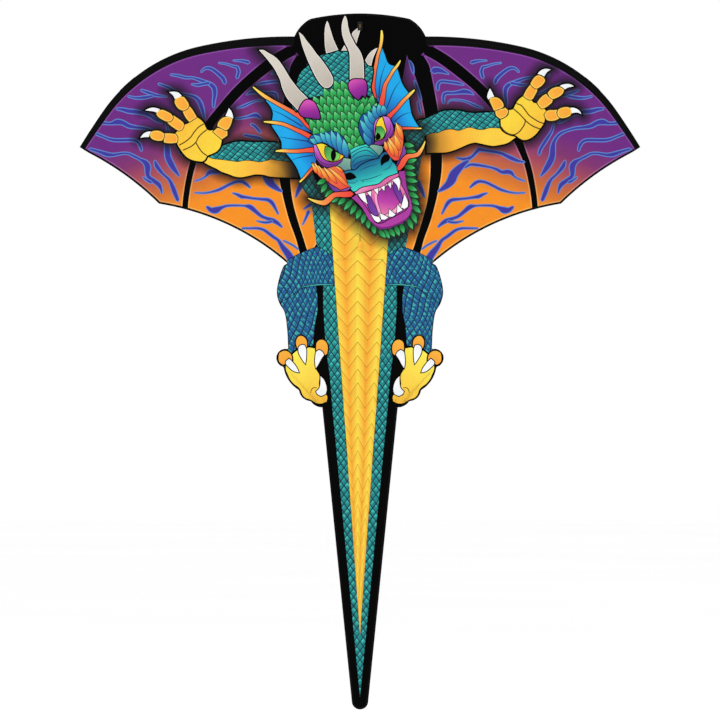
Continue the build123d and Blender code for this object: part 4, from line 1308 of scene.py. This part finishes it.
FOLDED = [(5.0, 0.3), (4.7, 0.8), (2.5, 0.95), (0.7, 0.9), (-0.3, 0.4), (-0.3, -0.4), (0.7, -0.9),
          (2.5, -0.95),
          (4.7, -0.8), (5.0, -0.3)]
ROLLED = [(1.9, 0.3), (1.4, 0.9), (0.5, 0.9), (-0.2, 0.4), (-0.2, -0.4), (0.5, -0.9), (1.4, -0.9),
          (1.9, -0.3)]
FELLED = [(-5.0, -0.2), (-4.6, -0.7), (0.0, -0.85), (4.6, -0.7), (5.0, -0.2)]
ROD_DEPTH = SAIL_Y + 0.3 - SPINE_Y
SLEEVE_RADIUS = 4.9
around_rod = [(5 - SLEEVE_RADIUS * sin(a * pi / 8),
               ROD_DEPTH + SLEEVE_RADIUS * cos(a * pi / 8)) for a in range(13)]
BAND_SECTION = [(28.0, 0.3), (27.5, 0.9), (20.0, 1.1), (12.0, 1.0), (7.0, 0.6), (2.5, 0.3)] + around_rod[2:]
BAND_SECTION += [(10.6, -2.4), (12.0, -1.0), (20.0, -1.1), (27.5, -0.9), (28.0, -0.3)]
WINDOW_SECTION = [(28.0, 0.3), (27.5, 0.9), (12.0, 1.0), (1.0, 0.8), (0.0, 0.2), (0.0, -0.4), (1.0, -0.9),
                  (12.0, -1.0), (27.5, -0.9), (28.0, -0.3)]
CROWN_SECTION = [(-3.0, -0.4), (-1.0, -1.0), (0.2, -3.0)] + around_rod[4:] + [(10.6, -2.4), (12.0, -0.9),
                                                                              (13.5, -0.4)]
SPREADER_AT, WINDOW, PATCH = 462.0, 52.0, 48.0


def edge_run(start, end, step=7.0):
    """Evenly spaced distances along the leading edge."""
    return np.linspace(start, end, max(2, int((end - start) / step)))


trailing = [edge_point(EDGE_LENGTH, 13)] + [p for p in scallops if p[1] > WING_FOOT] + [sail_foot]
for side, hand in ((-1, "left"), (1, "right")):
    def mirrored(line):
        return [(side * x, z) for x, z in line]

    def sided(section):
        return [(side * inset, out) for inset, out in section]

    # The leading edge band is folded round its rod and cut away where the spreader's fitting clips on.
    gap = (SPREADER_AT - WINDOW / 2, SPREADER_AT + WINDOW / 2)
    sleeve = sewn_strip("leading_edge_band_" + hand, [
        (mirrored([edge_point(s) for s in edge_run(*span)]), sided(section), None,
         [(band_width(s) - STITCHED) / (BAND - STITCHED) for s in edge_run(*span)])
        for span, section in (((-146, -2), CROWN_SECTION), ((0, gap[0]), BAND_SECTION),
                              (gap, WINDOW_SECTION),
                              ((gap[1], EDGE_LENGTH), BAND_SECTION))], band_cloth)
    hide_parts("leading_edge_sleeve_" + hand)
    patch = sewn_strip("tip_patch_" + hand, [(
        mirrored([edge_point(s) for s in edge_run(EDGE_LENGTH - PATCH, EDGE_LENGTH - 1)]),
        sided([(11.5, -1.2), (12.0, -1.8), (20.0, -1.9), (27.0, -1.8), (27.5, -1.2)]), None, None)],
        webbing)
    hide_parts("wing_tip_patch_" + hand)
    tape = sewn_strip("trailing_binding_" + hand, [(mirrored(even(trailing)), sided(FOLDED), None, None)],
                      binding_cloth)
    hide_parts("trailing_edge_tape_" + hand)
    seams = [sewn_strip(f"rib_seam_{rib}_{hand}", [(mirrored(even(line)), FELLED, None, None)], seam_cloth)
             for rib, line in (("inner", [p for p in seam_a if WING_FOOT < p[1] < -70]), ("outer",
                                                                                          seam_b[3:-1]))]
    for piece in [sleeve, patch, tape] + seams:
        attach(piece, "wing_" + hand)
    crown_line = mirrored(even(half_crown))
    crown_tape = sewn_strip("crown_binding_" + hand, [(crown_line, sided(FOLDED), None, None)],
                            binding_cloth)
    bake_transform(crown_tape)
    leg_line = even([sail_foot] + body_side, 4.0)
    leg_tape = sewn_strip("leg_binding_" + hand, [(mirrored(leg_line), sided(ROLLED), None, None)],
                          binding_cloth)
    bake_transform(leg_tape)

# Tail binding: the same black tape, folded over both edges of every tail piece and stitched
# through. On the last piece one length runs down, round the tip and up again.
for number in range(TAIL_PIECES):
    top, low = tail_ends(number)
    if number < TAIL_PIECES - 1:
        parts = [(even([(side * tail_half(top), top), (side * tail_half(low), low)]),
                  [(side * inset, out) for inset, out in FOLDED], None, None) for side in BOTH]
    else:
        tip = [(tail_half(top), top)] + tail_tip(low, 24) + [(-tail_half(top), top)]
        parts = [(even(tip, 4.0), FOLDED, None, None)]
    tape = sewn_strip(f"tail_binding_{number + 1}", parts, binding_cloth)
    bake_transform(tape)

# Spine sleeve and end pockets: tubes of black cloth for the spine rods, and webbing pockets over
# their two ends, sewn down the back of the sail along two lines of stitches. The sleeve stops
# above and below the centre joiner.
spreader_z = edge_point(SPREADER_AT, 5)[1]
TUNNEL = [(-8.0, -0.4), (-5.6, -0.9), (-4.9, -2.5)]
TUNNEL += [(-SLEEVE_RADIUS * cos(a * pi / 10),
            ROD_DEPTH - SLEEVE_RADIUS * sin(a * pi / 10)) for a in range(11)]
TUNNEL += [(4.9, -2.5), (5.6, -0.9), (8.0, -0.4)]
POCKET = [(-7.9, -0.4), (-7.0, -1.4), (-6.2, -5.0), (-5.2, -9.0), (-3.0, -11.0), (0.0, -11.5), (3.0, -11.0),
          (5.2, -9.0), (6.2, -5.0), (7.0, -1.4), (7.9, -0.4)]
for name, stands_for, top, low, closed_end in (
        ("spine_tunnel_upper", "spine_sleeve_upper", 10.5, spreader_z + 18, None),
        ("spine_tunnel_lower", "spine_sleeve_lower", spreader_z - 18, -961.0, None),
        ("nose_patch", "nose_pocket", 31.0, 10.5, "top"),
        ("foot_patch", "tail_pocket", -961.0, -981.5, "foot")):
    rows = max(8, int((top - low) / 6))
    heights = np.linspace(top, low, rows)
    spine_line = [(0.0, z) for z in heights]
    if closed_end:
        fill = np.linspace(0, 1, rows) if closed_end == "top" else np.linspace(1, 0, rows)
        depth = list(np.clip(fill * 3.5, 0.05, 1))
        piece = sewn_strip(name, [(spine_line, POCKET, depth, None)], webbing)
    else:
        depth = [1 + 0.035 * sin(z / 9.0) * sin(z / 23.0) for z in heights]
        piece = sewn_strip(name, [(spine_line, TUNNEL, depth, None)], tunnel_cloth)
    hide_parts(stands_for)
    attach(piece, "root")


# Frame fittings: glass fibre rods, an aluminium ferrule, vinyl caps, clips and fittings, and
# brass eyelets in webbing tabs. These keep their made shape and get their finish here.
def finish_of(name, mixes, stretch, roughness, specular=0.5, metallic=0.0, depth=0.3, coat=0.0):
    """A finish whose grain runs along the axis with the smallest stretch."""
    material, tree, shader = new_material(name, roughness, specular, metallic)
    shader.inputs["Coat Weight"].default_value = coat
    place, spread = tree.nodes.new("ShaderNodeTexCoord"), node(tree, "Mapping")
    spread.inputs["Scale"].default_value = stretch
    grain = node(tree, "TexNoise", Scale=1.0, Detail=5.0)
    tree.links.new(place.outputs["Object"], spread.inputs["Vector"])
    tree.links.new(spread.outputs[0], grain.inputs["Vector"])
    tree.links.new(ramp(tree, grain.outputs["Fac"], [(0.3, mixes[0]), (0.7, mixes[1])]),
                   shader.inputs["Base Color"])
    tree.links.new(maths(tree, "MULTIPLY_ADD", grain.outputs["Fac"], 0.25, roughness - 0.1),
                   shader.inputs["Roughness"])
    bump = node(tree, "Bump", Strength=depth, Distance=0.0002)
    tree.links.new(grain.outputs["Fac"], bump.inputs["Height"])
    tree.links.new(bump.outputs[0], shader.inputs["Normal"])
    return material


upright_rod = finish_of("glass_fibre_upright", ("0B0B0C", "232326"), (2500, 2500, 25), 0.35, coat=0.3)
cross_rod = finish_of("glass_fibre_across", ("0B0B0C", "232326"), (25, 2500, 2500), 0.35, coat=0.3)
vinyl = finish_of("black_vinyl", ("0C0C0D", "1A1A1C"), (900, 900, 900), 0.45, depth=0.4)
aluminium = finish_of("drawn_aluminium", ("9C9EA0", "C4C6C8"), (4000, 4000, 60), 0.32, metallic=1.0)
brass = finish_of("pressed_brass", ("A8741C", "D8A544"), (500, 500, 500), 0.28, metallic=1.0)
tab_webbing = finish_of("tab_webbing", ("060607", "26262A"), (300, 900, 900), 0.7, 0.2, depth=0.9)
gold_webbing = finish_of("gold_webbing", ("E8B03A", "F2C04A"), (300, 900, 900), 0.7, 0.1, depth=0.9)
finishes = {
    "spine_rod_upper": upright_rod, "spine_rod_lower": upright_rod, "spine_ferrule": aluminium,
    "spine_caps": vinyl,
    "bridle_tab_upper": tab_webbing, "bridle_tab_lower": gold_webbing, "bridle_eyelet_upper": brass,
    "bridle_eyelet_lower": brass}
for hand in ("left", "right"):
    for part in ("leading_edge_rod", "spreader_rod"):
        finishes[f"{part}_{hand}"] = cross_rod
    for part in ("edge_rod_cap", "spreader_fitting", "stop_clips"):
        finishes[f"{part}_{hand}"] = vinyl
for name, material in finishes.items():
    for slot_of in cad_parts[name].material_slots:
        slot_of.link = "OBJECT"
        slot_of.material = material

# Centre joiner: one soft vinyl tee pushed onto the spine, which bends on both sides of it as the
# wings fold. It is made in two halves, cut often enough across its arms to bend smoothly.
JOINER_CUTS, CUT_PITCH = 8, 0.003
for side, hand in ((-1, "left"), (1, "right")):
    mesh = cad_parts["centre_joiner"].data.copy()
    half = bmesh.new()
    half.from_mesh(mesh)
    bmesh.ops.bisect_plane(half, geom=half.verts[:] + half.edges[:] + half.faces[:], plane_co=(0, 0, 0),
                           plane_no=(side, 0, 0), clear_inner=True)
    for cut in range(1, JOINER_CUTS + 1):
        bmesh.ops.bisect_plane(half, geom=half.verts[:] + half.edges[:] + half.faces[:],
                               plane_co=(side * CUT_PITCH * cut, 0, 0), plane_no=(side, 0, 0))
    half.to_mesh(mesh)
    half.free()
    mesh.name = "joiner_half_" + hand
    mesh.materials.clear()
    mesh.materials.append(vinyl)
    piece = placed("joiner_half_" + hand, mesh)
    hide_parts("centre_joiner")
    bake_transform(piece)
